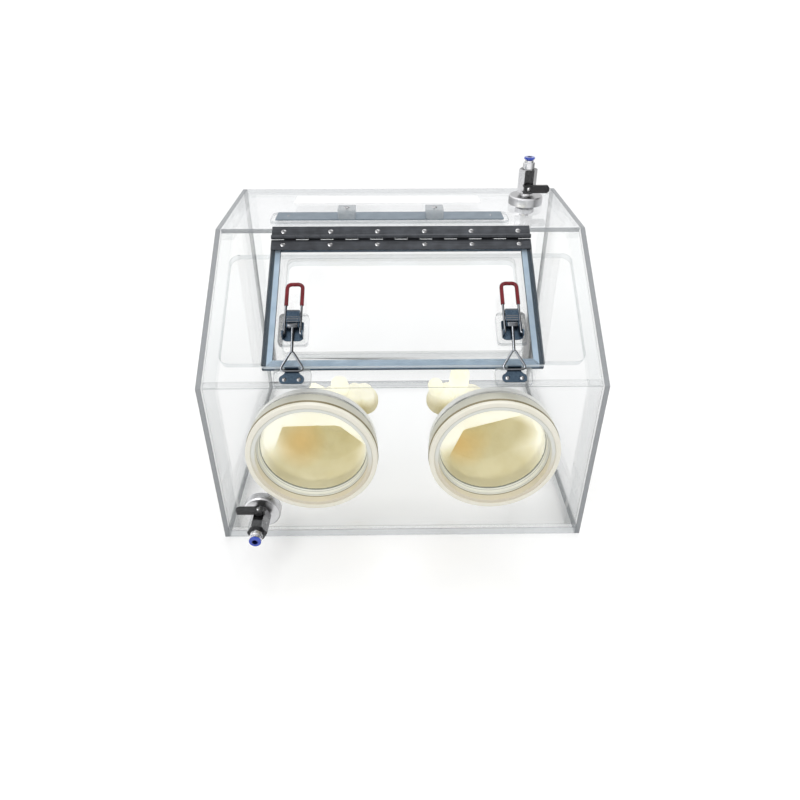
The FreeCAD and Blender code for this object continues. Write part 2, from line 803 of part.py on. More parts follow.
def valve_lock_nut():
    face = -wall_thickness
    washer_end = face - washer_thickness
    bore = Part.makeCylinder(tail_radius, tail_length, Vector(0, 0, -tail_length))
    washer = Part.makeCylinder(washer_radius, washer_thickness, Vector(0, 0, washer_end)).cut(bore)
    nut = hexagon(nut_flats, washer_end - nut_thickness, washer_end).cut(bore)
    return washer, nut


def valve_body():
    solid = hexagon(body_flats, valve_body_start, valve_body_end)
    rim = body_flats / math.sqrt(3)
    rounding = revolved([(0.0, valve_body_start), (rim - edge_break, valve_body_start),
                         (rim, valve_body_start + edge_break), (rim, valve_body_end - edge_break),
                         (rim - edge_break, valve_body_end), (0.0, valve_body_end)])
    solid = solid.common(rounding)
    cavity_half = ball_radius + ball_clearance
    flow = Part.makeCylinder(valve_bore_radius, body_length, Vector(0, 0, valve_body_start))
    cavity = Part.makeCylinder(cavity_radius, 2 * cavity_half, Vector(0, 0, ball_height - cavity_half))
    thread = Part.makeCylinder(fitting_thread_radius, fitting_thread_length,
                               Vector(0, 0, valve_body_end - fitting_thread_length))
    stem_hole = cylinder(stem_size + stem_clearance, Vector(0, 0, ball_height),
                         Vector(0, -body_flats, ball_height))
    return solid.cut([flow, cavity, thread, stem_hole])


def valve_seats():
    cavity_half = ball_radius + ball_clearance
    pocket = Part.makeSphere(ball_radius + ball_clearance, Vector(0, 0, ball_height))
    seats = []
    for z in (ball_height - cavity_half, ball_height + cavity_half - seat_length):
        ring = Part.makeCylinder(cavity_radius, seat_length, Vector(0, 0, z))
        ring = ring.cut(Part.makeCylinder(valve_bore_radius, seat_length, Vector(0, 0, z)))
        seats.append(ring.cut(pocket))
    return seats


def valve_stem():
    hub_start = -body_flats / 2 - lever_gap
    return cylinder(stem_size, Vector(0, stem_engagement - ball_radius, ball_height),
                    Vector(0, hub_start - lever_hub_height, ball_height))


def valve_ball():
    ball = Part.makeSphere(ball_radius, Vector(0, 0, ball_height))
    bore = cylinder(ball_bore_radius, Vector(-ball_radius, 0, ball_height),
                    Vector(ball_radius, 0, ball_height))
    return ball.cut(bore).cut(valve_stem())


def valve_lever():
    hub_start = -body_flats / 2 - lever_gap
    hub_end = hub_start - lever_hub_height
    hub = cylinder(lever_hub_radius, Vector(0, hub_start, ball_height), Vector(0, hub_end, ball_height))
    half = lever_arm_width / 2
    tip_start = lever_arm_length - lever_tip_length
    arm = block(0.0, tip_start, hub_end, hub_end + lever_arm_thickness,
                ball_height - half, ball_height + half)
    tip_half = half - lever_tip_inset
    tip = [(tip_start, half), (lever_arm_length, tip_half), (lever_arm_length, -tip_half),
           (tip_start, -half)]
    corners = [Vector(x, hub_end, ball_height + z) for x, z in tip]
    nose = Part.Face(Part.makePolygon(corners + corners[:1])).extrude(Vector(0, lever_arm_thickness, 0))
    ears = []
    for sign in (-1, 1):
        ear = block(-lever_ear_reach, 0.0, hub_end, hub_start, -lever_ear_size / 2, lever_ear_size / 2)
        turn = FreeCAD.Placement(Vector(0, 0, ball_height), Rotation(Y_AXIS, sign * lever_ear_angle))
        ears.append(placed(turn, ear))
    lever = hub.fuse([arm, nose] + ears).removeSplitter()
    return lever.cut(valve_stem())


def valve_lever_screw():
    face = body_flats / 2 + lever_gap + lever_hub_height
    screw = pan_screw(0, 0, face, lever_screw_head_radius, lever_screw_head_height,
                      lever_screw_radius, lever_screw_length)
    turn = FreeCAD.Placement(Vector(0, 0, ball_height), Rotation(X_AXIS, 90))
    return placed(turn, screw)


def valve_fitting():
    thread_start = valve_body_end - fitting_thread_length
    socket_floor = fitting_end - tube_socket_depth
    pocket_radius = collar_sleeve_radius + collar_clearance
    pocket_floor = fitting_end - collar_sleeve_length
    edge = fitting_radius - edge_break
    outline_points = [(flow_radius, thread_start), (fitting_thread_radius, thread_start),
                      (fitting_thread_radius, valve_body_end), (fitting_radius, valve_body_end),
                      (fitting_radius, fitting_shoulder - edge_break), (edge, fitting_shoulder),
                      (fitting_neck_radius, fitting_shoulder), (fitting_neck_radius, fitting_end),
                      (pocket_radius, fitting_end), (pocket_radius, pocket_floor),
                      (tube_radius, pocket_floor), (tube_radius, socket_floor),
                      (flow_radius, socket_floor)]
    return revolved(outline_points)


def valve_collar():
    low = fitting_end + collar_travel
    bore = tube_radius + collar_bore_extra
    end = low + collar_thickness
    sleeve_end = low - collar_sleeve_length + collar_clearance
    outline_points = [(bore, sleeve_end), (collar_sleeve_radius, sleeve_end), (collar_sleeve_radius, low),
                      (collar_radius - edge_break, low), (collar_radius, low + edge_break),
                      (collar_radius, end - edge_break), (collar_radius - edge_break, end), (bore, end)]
    return revolved(outline_points)


def make_valves():
    top_place = FreeCAD.Placement(Vector(top_valve_x, top_valve_y, case_height), Rotation())
    lying = Rotation(X_AXIS, 90).multiply(Rotation(Z_AXIS, 180))
    front_place = FreeCAD.Placement(Vector(front_valve_x, front_y, front_valve_z), lying)
    nuts, seats = [], []
    stem = valve_stem()
    screw = valve_lever_screw()
    stem = stem.cut(screw)
    for name, place in (("top", top_place), ("front", front_place)):
        save(name + "_valve_flange", placed(place, valve_flange()))
        save(name + "_valve_body", placed(place, valve_body()))
        save(name + "_valve_fitting", placed(place, valve_fitting()))
        save(name + "_valve_ball_and_stem", placed(place, valve_ball()), placed(place, stem))
        save(name + "_valve_lever", placed(place, valve_lever()))
        save(name + "_lever_screw", placed(place, screw))
        save(name + "_release_collar", placed(place, valve_collar()))
        nuts += [placed(place, piece) for piece in valve_lock_nut()]
        seats += [placed(place, piece) for piece in valve_seats()]
    save("valve_lock_nuts", *nuts)
    save("valve_seats", *seats)


# Strip, rest blocks and blank plate on the top panel
def make_top_fittings():
    carrier_front = rest_front_y - carrier_front_margin
    carrier_top = case_height + carrier_thickness
    strip_top = carrier_top + rest_strip_thickness
    block_top = strip_top + rest_block_height
    half = carrier_length / 2
    carrier = rounded_plate(rest_centre_x - half, rest_centre_x + half, carrier_front,
                            carrier_front + carrier_width, case_height, carrier_top, carrier_corner)
    save("rest_strip_carrier", carrier)
    half = rest_strip_length / 2
    strip = rounded_plate(rest_centre_x - half, rest_centre_x + half, rest_front_y,
                          rest_front_y + rest_strip_width, carrier_top, strip_top, rest_strip_corner)
    middle_y = rest_front_y + rest_strip_width / 2
    screws = []
    for sign in (-1, 1):
        x = rest_centre_x + sign * (half - strip_screw_inset)
        screws.append(pan_screw(x, middle_y, strip_top, strip_screw_head_radius, strip_screw_head_height,
                                strip_screw_head_radius / 2, rest_strip_thickness))
        strip = strip.cut(Part.makeCylinder(strip_screw_head_radius / 2, rest_strip_thickness,
                                            Vector(x, middle_y, carrier_top)))
    blocks = []
    for sign in (-1, 1):
        x = rest_centre_x + rest_block_shift + sign * rest_block_spacing / 2
        y = rest_front_y + rest_block_depth / 2
        rest = rounded_plate(x - rest_block_width / 2, x + rest_block_width / 2, rest_front_y,
                             rest_front_y + rest_block_depth, strip_top, block_top, rest_block_corner)
        rest = rest.cut(Part.makeCylinder(rest_screw_radius, rest_block_height, Vector(x, y, strip_top)))
        blocks.append(rest)
        screws.append(pan_screw(x, y, block_top, rest_screw_head_radius, rest_screw_head_height,
                                rest_screw_radius, rest_block_height))
    save("rest_strip", strip)
    save("rest_blocks", *blocks)
    save("rest_screws", *screws)
    half_x = blank_plate_length / 2
    half_y = blank_plate_width / 2
    plate_top = case_height + blank_plate_thickness
    save("blank_plate", rounded_plate(blank_plate_x - half_x, blank_plate_x + half_x,
                                      blank_plate_y - half_y, blank_plate_y + half_y,
                                      case_height, plate_top, blank_plate_corner))


make_case()
make_hinge()
make_door()
make_latches()
make_ports()
make_valves()
make_top_fittings()
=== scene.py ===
# %% [markdown]
# # An acrylic glove box
# The real object is a case of glued clear acrylic sheet. It has a gasketed
# door in its sloping front, two glove ports below it, toggle latches, a piano
# hinge and two ball valves. This lesson dresses the measured model: the sheet
# parts keep their measured shapes and get finishes, and the soft, turned, bent
# and stamped parts are made again here with finer detail.

import math
import random

import bmesh
import bpy
from mathutils import Matrix, Vector, noise


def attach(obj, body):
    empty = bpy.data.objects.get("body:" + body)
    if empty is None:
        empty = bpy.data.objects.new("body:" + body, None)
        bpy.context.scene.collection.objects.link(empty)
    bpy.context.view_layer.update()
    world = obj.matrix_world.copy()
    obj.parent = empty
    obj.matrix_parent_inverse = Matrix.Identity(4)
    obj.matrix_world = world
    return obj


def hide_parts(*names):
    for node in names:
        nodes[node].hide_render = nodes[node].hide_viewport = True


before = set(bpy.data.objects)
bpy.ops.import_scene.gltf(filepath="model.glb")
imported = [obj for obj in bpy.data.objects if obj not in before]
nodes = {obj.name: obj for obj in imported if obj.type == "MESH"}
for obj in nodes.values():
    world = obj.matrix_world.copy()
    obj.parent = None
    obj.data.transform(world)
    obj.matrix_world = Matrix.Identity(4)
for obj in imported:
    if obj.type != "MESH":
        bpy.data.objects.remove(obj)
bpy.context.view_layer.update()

# %% [markdown]
# ## Where the parts are
# Everything is in metres, but small hardware is easier to think of in
# millimetres. So the shapes below are drawn in millimetres in a frame of their
# own, and one matrix scales each of them down and puts it in its place. The
# door, hinge and latches all lie on the sloping panel, so they share a frame:
# X goes across, Y up the slope and Z straight out of it.

# %% Frames for the slope, the ports and the valves
MM = Matrix.Scale(0.001, 4)
front_y, front_height = -237.5, 295.0
slope_run, slope_rise = 240.0, 155.0
slope_angle = math.atan2(slope_rise, slope_run)


def frame_at(x, y, z, *turns):
    """A millimetre frame at a point, turned by (degrees, axis) pairs."""
    place = MM @ Matrix.Translation((x, y, z))
    for degrees, axis in turns:
        place = place @ Matrix.Rotation(math.radians(degrees), 4, axis)
    return place


slope = frame_at(0, front_y, front_height, (math.degrees(slope_angle), "X"))
port_x, port_z = 137.5, 187.0
sides = {"left": -1, "right": 1}
ports = {name: frame_at(side * port_x, front_y, port_z, (90, "X"))
         for name, side in sides.items()}
valves = {"top": frame_at(226, 139.5, 450),
          "front": frame_at(-228, front_y, 68, (90, "X"), (180, "Z"))}
latch_x = 160.0
latches = {name: slope @ Matrix.Translation((side * latch_x, 0, 0))
           for name, side in sides.items()}
print("slope angle:", round(math.degrees(slope_angle), 2), "degrees")

# %% [markdown]
# ## The camera
# The photograph was taken from a little above and in front, with a moderately
# wide lens. These values come from fitting a camera to the eight corners of
# the case, so that a point of the model lands on the same pixel.

# %% Place the camera
def in_scene(name, data):
    """A new object that holds the data, linked to the scene."""
    item = bpy.data.objects.new(name, data)
    bpy.context.scene.collection.objects.link(item)
    return item


camera_data = bpy.data.cameras.new("camera")
camera_data.lens = 28.79
camera_data.sensor_width = 36.0
camera = in_scene("camera", camera_data)
camera.location = (-0.0158, -1.0187, 0.787)
pitch_down, yaw = math.radians(33.29), 0.014
camera.rotation_euler = (math.pi / 2 - pitch_down, 0, -yaw)
bpy.context.scene.camera = camera
bpy.context.scene.view_settings.view_transform = "Standard"
print("camera looks down", round(math.degrees(pitch_down), 1), "degrees")


# %% [markdown]
# ## Building shapes from points
# Turned parts, bent wire and folded sheet all start from a few corner points.
# A real edge is never quite sharp, and the tiny rounded edge is what catches
# the light. So `eased` rounds every corner of an outline, and `turned`,
# `swept` and `plate` make a closed mesh from it.

# %% Ease the corners of a path
def eased(points, radius, steps=5, closed=True):
    """The same path with its corners rounded by short curves."""
    points = [Vector(p) for p in points]
    count = len(points)
    result = []
    for index, corner in enumerate(points):
        if not closed and index in (0, count - 1):
            result.append(corner)
            continue
        size = radius[index] if isinstance(radius, (list, tuple)) else radius
        back = points[index - 1] - corner
        on = points[(index + 1) % count] - corner
        half = back.angle(on) / 2
        reach = min(size / math.tan(half), 0.48 * back.length, 0.48 * on.length)
        enter, leave = corner + back.normalized() * reach, corner + on.normalized() * reach
        for step in range(steps + 1):
            t = step / steps
            result.append((1 - t) ** 2 * enter + 2 * t * (1 - t) * corner + t * t * leave)
    return result


# %% Draw an arc
def arc(x, y, radius, first, step, count):
    """Points on a circle, with the first angle and the step in degrees."""
    angles = [math.radians(first + step * i) for i in range(count)]
    return [(x + radius * math.cos(a), y + radius * math.sin(a)) for a in angles]


# %% Turn an outline about Z
def turned(profile, steps):
    """A closed turned shape from a closed outline of (radius, height) points."""
    count = len(profile)
    vertices, faces = [], []
    for step in range(steps):
        angle = 2 * math.pi * step / steps
        for radius, height in profile:
            vertices.append((radius * math.cos(angle), radius * math.sin(angle), height))
    for step in range(steps):
        here, after = step * count, (step + 1) % steps * count
        for low in range(count):
            high = (low + 1) % count
            if profile[low][0] or profile[high][0]:
                faces.append((here + low, after + low, after + high, here + high))
    return vertices, faces


# %% Sweep a round section along a path
def tube_faces(rings, around, closed=False):
    """The faces between rings of points, with a cap on each end of an open tube."""
    faces = []
    for ring in range(rings if closed else rings - 1):
        here, after = ring * around, (ring + 1) % rings * around
        for side in range(around):
            nxt = (side + 1) % around
            faces.append((here + side, here + nxt, after + nxt, after + side))
    if not closed:
        faces.append(tuple(reversed(range(around))))
        faces.append(tuple(range((rings - 1) * around, rings * around)))
    return faces


def swept(path, radius, around=20, closed=False):
    """A round bar whose section is carried along the path without twisting."""
    path = [Vector(p) for p in path]
    count = len(path)
    radii = radius if isinstance(radius, list) else [radius] * count
    tangents = []
    for index in range(count):
        before = path[index - 1] if closed or index else path[0]
        after = path[(index + 1) % count] if closed or index < count - 1 else path[-1]
        tangents.append((after - before).normalized())
    across = tangents[0].orthogonal().normalized()
    vertices = []
    for index in range(count):
        if index:
            across = tangents[index - 1].rotation_difference(tangents[index]) @ across
        other = tangents[index].cross(across)
        for side in range(around):
            angle = 2 * math.pi * side / around
            offset = across * math.cos(angle) + other * math.sin(angle)
            vertices.append(path[index] + offset * radii[index])
    return vertices, tube_faces(count, around, closed)


# %% Sleeve a round bar
def sleeved(path, outer, inner, around=20):
    """A tube with a bore, made of the outer and the inner walls of one path."""
    outside, faces = swept(path, outer, around)
    inside, _ = swept(path, inner, around)
    rings, total = len(path), len(outside)
    walls = faces[:-2]
    walls += [tuple(total + i for i in reversed(face)) for face in faces[:-2]]
    for start in (0, (rings - 1) * around):
        for side in range(around):
            nxt = (side + 1) % around
            walls.append((start + side, start + nxt, total + start + nxt, total + start + side))
    return outside + inside, walls


# %% Cut a plate from an outline
def plate(outline, low, high):
    """A flat plate between two heights from an outline of (x, y) points."""
    count = len(outline)
    vertices = [(p[0], p[1], z) for z in (low, high) for p in outline]
    faces = [tuple(reversed(range(count))), tuple(range(count, 2 * count))]
    for index in range(count):
        nxt = (index + 1) % count
        faces.append((index, nxt, count + nxt, count + index))
    return vertices, faces


# %% [markdown]
# ## Joining shapes into one piece
# Several closed shapes often make one real part, such as a stamped plate with
# its ears. `make_piece` joins their points into one mesh, puts it in place,
# lets it ride on its body and names the measured part that it stands for. A
# bevel rounds the edges that are left sharp.

# %% Make a piece of the model
def joined(*shapes):
    vertices, faces = [], []
    for shape_vertices, shape_faces in shapes:
        start = len(vertices)
        vertices += [Vector(v) for v in shape_vertices]
        faces += [tuple(start + i for i in face) for face in shape_faces]
    return vertices, faces


def moved(shape, place):
    return [place @ Vector(v) for v in shape[0]], shape[1]


def clean_mesh(mesh, merge, sliver=0.0):
    """Merge doubled points, drop slivers and turn every face outward."""
    work = bmesh.new()
    work.from_mesh(mesh)
    bmesh.ops.remove_doubles(work, verts=work.verts, dist=merge)
    if sliver:
        bmesh.ops.dissolve_degenerate(work, edges=work.edges, dist=sliver)
    bmesh.ops.recalc_face_normals(work, faces=work.faces)
    work.to_mesh(mesh)
    work.free()


def ease_edges(item, width_mm, sharp=35):
    edge = item.modifiers.new("eased edges", "BEVEL")
    edge.width, edge.segments = width_mm * 0.001, 2
    edge.limit_method, edge.angle_limit = "ANGLE", math.radians(sharp)
    return edge


def make_piece(name, shape, place, material, body, stands_for, bevel=0.0, sharp=35,
               accent=None, accent_material=None):
    mesh = bpy.data.meshes.new(name)
    whole = joined(shape, accent) if accent else shape
    mesh.from_pydata([place @ Vector(v) for v in whole[0]], [], whole[1])
    for index, face in enumerate(mesh.polygons):
        face.material_index = int(index >= len(shape[1]))
    clean_mesh(mesh, 1e-6, 1e-6)
    mesh.shade_smooth()
    mesh.set_sharp_from_angle(angle=math.radians(sharp))
    mesh.materials.append(material)
    if accent:
        mesh.materials.append(accent_material)
    piece = in_scene(name, mesh)
    if bevel:
        ease_edges(piece, bevel, sharp).harden_normals = True
    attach(piece, body)
    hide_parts(*stands_for)
    print(name, "has", len(mesh.vertices), "points")
    return piece


as_drawn = Matrix.Identity(4)

# %% [markdown]
# ## Finishes
# A finish is a small network of nodes. `add` makes one node, sets it and
# links what feeds it in one call, so that each finish below reads as a list of
# the things that give the surface its look. Patterns use the object's own
# coordinates in metres, so a scale of 400 makes marks about 2.5 mm apart.

# %% Helpers for node networks
def add(tree, kind, inputs=None, **settings):
    """A new node. A node that is given as an input stands for its first output."""
    item = tree.nodes.new("ShaderNode" + kind)
    for key, value in settings.items():
        setattr(item, key, value)
    for key, value in (inputs or {}).items():
        if isinstance(value, bpy.types.Node):
            value = value.outputs[0]
        if isinstance(value, bpy.types.NodeSocket):
            tree.links.new(value, item.inputs[key])
        else:
            item.inputs[key].default_value = value
    return item


def new_finish(name, slot=None):
    """A material, its network, and the node that tells places and directions."""
    material = bpy.data.materials.new(name)
    material.use_nodes = True
    material["slot"] = slot or name
    tree = material.node_tree
    tree.nodes.clear()
    return material, tree, add(tree, "TexCoord")


def finished(material, shader):
    add(material.node_tree, "OutputMaterial", {"Surface": shader})
    return material


def axes(tree, place, kind="Object"):
    """The X, Y and Z of a point on the object, or with Normal of the way it faces."""
    return add(tree, "SeparateXYZ", {"Vector": place.outputs[kind]}).outputs[:]


def maths(tree, operation, *values):
    return add(tree, "Math", dict(enumerate(values)), operation=operation).outputs[0]


def vectors(tree, operation, first, second):
    """The number that two vectors give, such as their distance."""
    return add(tree, "VectorMath", {0: first, 1: second}, operation=operation).outputs["Value"]


def mixed(tree, factor, *tones):
    """The first tone where the factor is nought, the second one where it is one."""
    low, high = [(*tone, 1) if isinstance(tone, tuple) else tone for tone in tones]
    mix = add(tree, "Mix", {"Factor": factor, "A": low, "B": high}, data_type="RGBA")
    return [socket for socket in mix.outputs if socket.type == "RGBA"][0]


def speckle(tree, place, scale, stretch=(1, 1, 1), detail=4.0):
    """Noise over the object, pulled out along an axis by a low stretch there."""
    mapping = add(tree, "Mapping", {"Vector": place.outputs["Object"], "Scale": stretch})
    return add(tree, "TexNoise", {"Vector": mapping, "Scale": scale, "Detail": detail,
                                  "Roughness": 0.55}).outputs["Fac"]


def between(tree, value, low, high, start=0.3, end=0.7):
    """A number that runs from low to high as the value goes from start to end."""
    return add(tree, "MapRange", {"Value": value, "From Min": start, "From Max": end,
                                  "To Min": low, "To Max": high}).outputs["Result"]


def ramped(tree, value, stops):
    """The colour that a value finds along a row of (position, tone) stops."""
    ramp = add(tree, "ValToRGB", {"Fac": value})
    elements = ramp.color_ramp.elements
    while len(elements) < len(stops):
        elements.new(0.5)
    for element, (position, tone) in zip(elements, stops):
        element.position, element.color = position, (*tone, 1)
    return ramp.outputs["Color"]


def two_tones(tree, value, dark, light):
    return ramped(tree, value, [(0.35, dark), (0.65, light)])


def bumped(tree, value, depth_mm):
    return add(tree, "Bump", {"Height": value, "Distance": depth_mm * 0.001}).outputs["Normal"]


def bore_shade_mask(tree, place, reach):
    """Painted shade for the bores: one inside the tube bores of both valves, nought elsewhere."""
    inside = []
    for name, plane in (("top", (1, 1, 0)), ("front", (1, 0, 1))):
        flat = add(tree, "VectorMath", {0: place.outputs["Object"], 1: plane},
                   operation="MULTIPLY").outputs[0]
        away = vectors(tree, "DISTANCE", flat, valves[name].translation * Vector(plane))
        inside.append(between(tree, away, 1.0, 0.0, reach - 0.0001, reach + 0.0001))
    return maths(tree, "MAXIMUM", *inside)


# %% [markdown]
# ### Metals
# Brushed and drawn metal has fine marks along one direction, made here with
# noise that is stretched a lot along one axis. Plated metal is smoother, with
# faint clouds of wear in its gloss, and its reflections are painted: its grey
# is set by the way each face turns, light on one side and dark on the other.
# Both also vary between close tones, because no real plating is one even
# colour.

# %% Brushed metal
def brushed(name, dark, light, stretch, roughness, metallic):
    material, tree, place = new_finish(name)
    lines = speckle(tree, place, 900.0, stretch)
    both = maths(tree, "ADD", lines, speckle(tree, place, 60.0))
    return finished(material, add(tree, "BsdfPrincipled", {
        "Base Color": two_tones(tree, maths(tree, "MULTIPLY", both, 0.5), dark, light),
        "Metallic": metallic, "Normal": bumped(tree, lines, 0.01),
        "Roughness": between(tree, lines, roughness - 0.06, roughness + 0.08)}))


# %% Polished metal with a painted bright side and a painted dark side
def plated_with_painted_reflections(name, tones, painted_top_tone, roughness, tint=(1.0, 1.0, 1.02), bore=0.0, slot=None):
    """Plating with painted reflections: its grey goes through (direction, tone) pairs from faces
    turned left, -1, to right, 1, and faces turned up take a painted top tone.
    """
    material, tree, place = new_finish(name, slot)
    facing_x, _, facing_z = axes(tree, place, "Normal")
    stops = [((direction + 1) / 2, [tone * c for c in tint]) for direction, tone in tones]
    # painted highlights and shade: the grey is set by the way each face turns
    colour = ramped(tree, between(tree, facing_x, 0.0, 1.0, -1.0, 1.0), stops)
    # painted light: faces turned up take their own tone
    upward = between(tree, facing_z, 0.0, 1.0, 0.72, 0.95)
    colour = mixed(tree, upward, colour, tuple(painted_top_tone * c for c in tint))
    wear = speckle(tree, place, 350.0)
    colour = mixed(tree, between(tree, wear, 0.0, 0.18), colour, (0.35, 0.35, 0.36))
    # painted shade: the bore of the plated part goes near black
    if bore:
        colour = mixed(tree, bore_shade_mask(tree, place, bore), colour, (0.012, 0.012, 0.014))
    return finished(material, add(tree, "BsdfPrincipled", {
        "Base Color": colour, "Metallic": 1.0, "Normal": bumped(tree, wear, 0.004),
        "Roughness": between(tree, wear, roughness - 0.04, roughness + 0.08)}))


# %% Moulded plastic, vinyl and rubber
def moulded(name, dark, light, roughness, grain=1500.0, depth=0.02, coat=0.0, shine=0.5,
            bore=0.0, slot=None):
    material, tree, place = new_finish(name, slot)
    clouds = speckle(tree, place, 30.0)
    colour = two_tones(tree, clouds, dark, light)
    # painted shade: the bore of the moulded part goes deep navy
    if bore:
        colour = mixed(tree, bore_shade_mask(tree, place, bore), colour, (0.004, 0.012, 0.11))
    return finished(material, add(tree, "BsdfPrincipled", {
        "Base Color": colour, "Coat Weight": coat, "Specular IOR Level": shine,
        "Roughness": between(tree, clouds, roughness - 0.05, roughness + 0.06),
        "Normal": bumped(tree, speckle(tree, place, grain), depth)}))


# %% [markdown]
# ### Clear acrylic
# Sheet acrylic lets nearly everything through on its faces and mirrors a
# little more at a slant, which the Facing output gives. Its cut edges are
# ground, so they look like frosted grey glass. One finish does both: it reads
# which way the surface faces on the part itself, and treats what doesn't face
# along the sheet's thin direction as an edge. The eased corner between them is
# a fine line of its own darker tone, painted shade for the light that the
# corner bends away. Edges that face sideways can take a tone of their own; on
# the door it is a painted dark shade. An edge that looks back or down is seen
# through the sheet, so it covers less. Real refraction would be slower and
# darken everything inside the case, and thin sheet hardly bends a view. For
# light on its way to the inside the sheet is only a faint grey filter.

# %% Clear sheet with ground edges
def acrylic(name, thin_axis, tint=(0.994, 0.996, 0.996), edge=(0.72, 0.74, 0.76),
            edge_cover=0.25, haze=0.003, inside=(0.97, 0.975, 0.98), sideways_edge_shade=None,
            line=(0.10, 0.11, 0.12)):
    material, tree, place = new_finish(name, "clear_acrylic")
    facing = vectors(tree, "DOT_PRODUCT", place.outputs["Normal"], thin_axis)
    facing = maths(tree, "ABSOLUTE", facing)
    is_face = add(tree, "MapRange", {"Value": facing, "From Min": 0.80, "From Max": 0.97},
                  interpolation_type="SMOOTHSTEP").outputs["Result"]
    corner = between(tree, facing, 0.0, 1.0, 0.15, 0.3)
    smears = speckle(tree, place, 14.0, detail=5.0)
    gloss = add(tree, "BsdfGlossy", {"Color": (1, 1, 1, 1),
                                     "Roughness": between(tree, smears, 0.02, 0.07)})
    clear = add(tree, "BsdfTransparent", {"Color": (*tint, 1)})
    slant = add(tree, "LayerWeight", {"Blend": 0.5}).outputs["Facing"]
    mirror = between(tree, maths(tree, "POWER", slant, 4.0), 0.035, 0.80, 0.0, 1.0)
    sheet = add(tree, "MixShader", {0: mirror, 1: clear, 2: gloss})
    dust = add(tree, "BsdfDiffuse", {"Color": (0.85, 0.88, 0.90, 1)})
    dusty = add(tree, "MixShader", {0: haze, 1: sheet, 2: dust})
    saw = speckle(tree, place, 700.0, detail=3.0)
    facing_x, facing_y, facing_z = axes(tree, place, "Normal")
    sideways = between(tree, maths(tree, "ABSOLUTE", facing_x), 0.0, 1.0, 0.5, 0.8)
    # painted shade: edges that face sideways can take their own darker tone
    tone = mixed(tree, sideways, edge, sideways_edge_shade or edge)
    tone = mixed(tree, between(tree, saw, 0.0, 0.16), tone, (0.0, 0.0, 0.0))
    # painted shade: the eased corner gets the darker line tone
    ground = add(tree, "BsdfPrincipled", {
        "Base Color": mixed(tree, corner, tone, line), "Specular IOR Level": 0.3,
        "Roughness": between(tree, saw, 0.22, 0.42), "Normal": bumped(tree, saw, 0.03)})
    through = add(tree, "BsdfTransparent", {"Color": (*inside, 1)})
    turned_away = maths(tree, "MAXIMUM", maths(tree, "MULTIPLY", facing_z, -1.0), facing_y)
    seen_edge = between(tree, turned_away, edge_cover, 0.12, 0.5, 0.7)
    cover = between(tree, corner, seen_edge, max(edge_cover, 0.8), 0.0, 1.0)
    cut_edge = add(tree, "MixShader", {0: cover, 1: through, 2: ground})
    whole = add(tree, "MixShader", {0: is_face, 1: cut_edge, 2: dusty})
    passing = add(tree, "BsdfTransparent", {"Color": (0.985, 0.987, 0.99, 1)})
    shadow = add(tree, "LightPath").outputs["Is Shadow Ray"]
    return finished(material, add(tree, "MixShader", {0: shadow, 1: whole, 2: passing}))


slope_normal = (0, -math.sin(slope_angle), math.cos(slope_angle))
level = {"thin_axis": (0, 0, 1), "edge": (0.55, 0.57, 0.59), "edge_cover": 0.4,
         "inside": (0.90, 0.92, 0.93)}
acrylic_x = acrylic("acrylic_side_sheet", (1, 0, 0), edge=(0.28, 0.295, 0.31), edge_cover=0.9)
acrylic_y = acrylic("acrylic_upright_sheet", (0, 1, 0))
acrylic_z = acrylic("acrylic_level_sheet", **level)
# line sets the painted shade along each sheet's eased corners
acrylic_top = acrylic("acrylic_top_sheet", tint=(0.966, 0.970, 0.976), line=(0.42, 0.44, 0.46),
                      **level)
acrylic_slope = acrylic("acrylic_sloping_sheet", slope_normal, line=(0.34, 0.36, 0.38))
acrylic_opening = acrylic("acrylic_opening_frame", slope_normal, edge=(0.45, 0.52, 0.58),
                          edge_cover=0.12, inside=(0.955, 0.97, 0.975))
# the door's sideways edges get a painted dark shade
acrylic_door = acrylic("acrylic_door_sheet", slope_normal, edge=(0.86, 0.92, 0.97),
                       edge_cover=0.9, sideways_edge_shade=(0.035, 0.065, 0.095))
acrylic_strip = acrylic("acrylic_corner_strip", (1, 0, 0), edge=(0.86, 0.90, 0.92),
                        edge_cover=0.05, inside=(0.985, 0.99, 0.99))
acrylic_block = acrylic("acrylic_small_block", slope_normal, edge=(0.50, 0.54, 0.57),
                        edge_cover=0.42, haze=0.05)
# The rest blocks' darker tint is painted shade for the dark look that refraction gives a thick
# clear block.
acrylic_rest = acrylic("acrylic_rest_block", (0, 0, 1), tint=(0.74, 0.76, 0.78),
                       edge=(0.60, 0.64, 0.67), edge_cover=0.6, haze=0.06)
print("clear finishes:", sum("acrylic" in m.name for m in bpy.data.materials))

# %% Finishes for the other parts
hinge_steel = brushed("hinge_steel", (0.036, 0.038, 0.042), (0.075, 0.08, 0.09), (0.02, 1, 1),
                      0.34, 0.85)
# Painted reflections: the grey of each plated part by the way its faces turn, light on one side and
# dark on the other.
screw_painted_reflections = [(-1, 0.34), (-0.45, 0.85), (-0.1, 0.45), (0.3, 0.10), (0.8, 0.05)]
screw_steel = plated_with_painted_reflections("screw_steel", screw_painted_reflections, 0.34, 0.2)
latch_steel = brushed("latch_steel", (0.035, 0.058, 0.09), (0.085, 0.125, 0.17), (1, 0.05, 1),
                      0.3, 0.9)
wire_painted_reflections = [(-1, 0.03), (-0.75, 0.12), (-0.42, 0.80), (-0.12, 0.30), (0.1, 0.03), (0.9, 0.015)]
wire_steel = plated_with_painted_reflections("wire_steel", wire_painted_reflections, 0.10, 0.2, (0.93, 0.98, 1.06))
body_painted_reflections = [(-1, 0.45), (-0.9, 0.66), (-0.5, 0.80), (-0.15, 0.30), (-0.02, 0.028), (0.15, 0.03),
              (0.5, 0.14), (0.87, 0.22), (1, 0.4)]
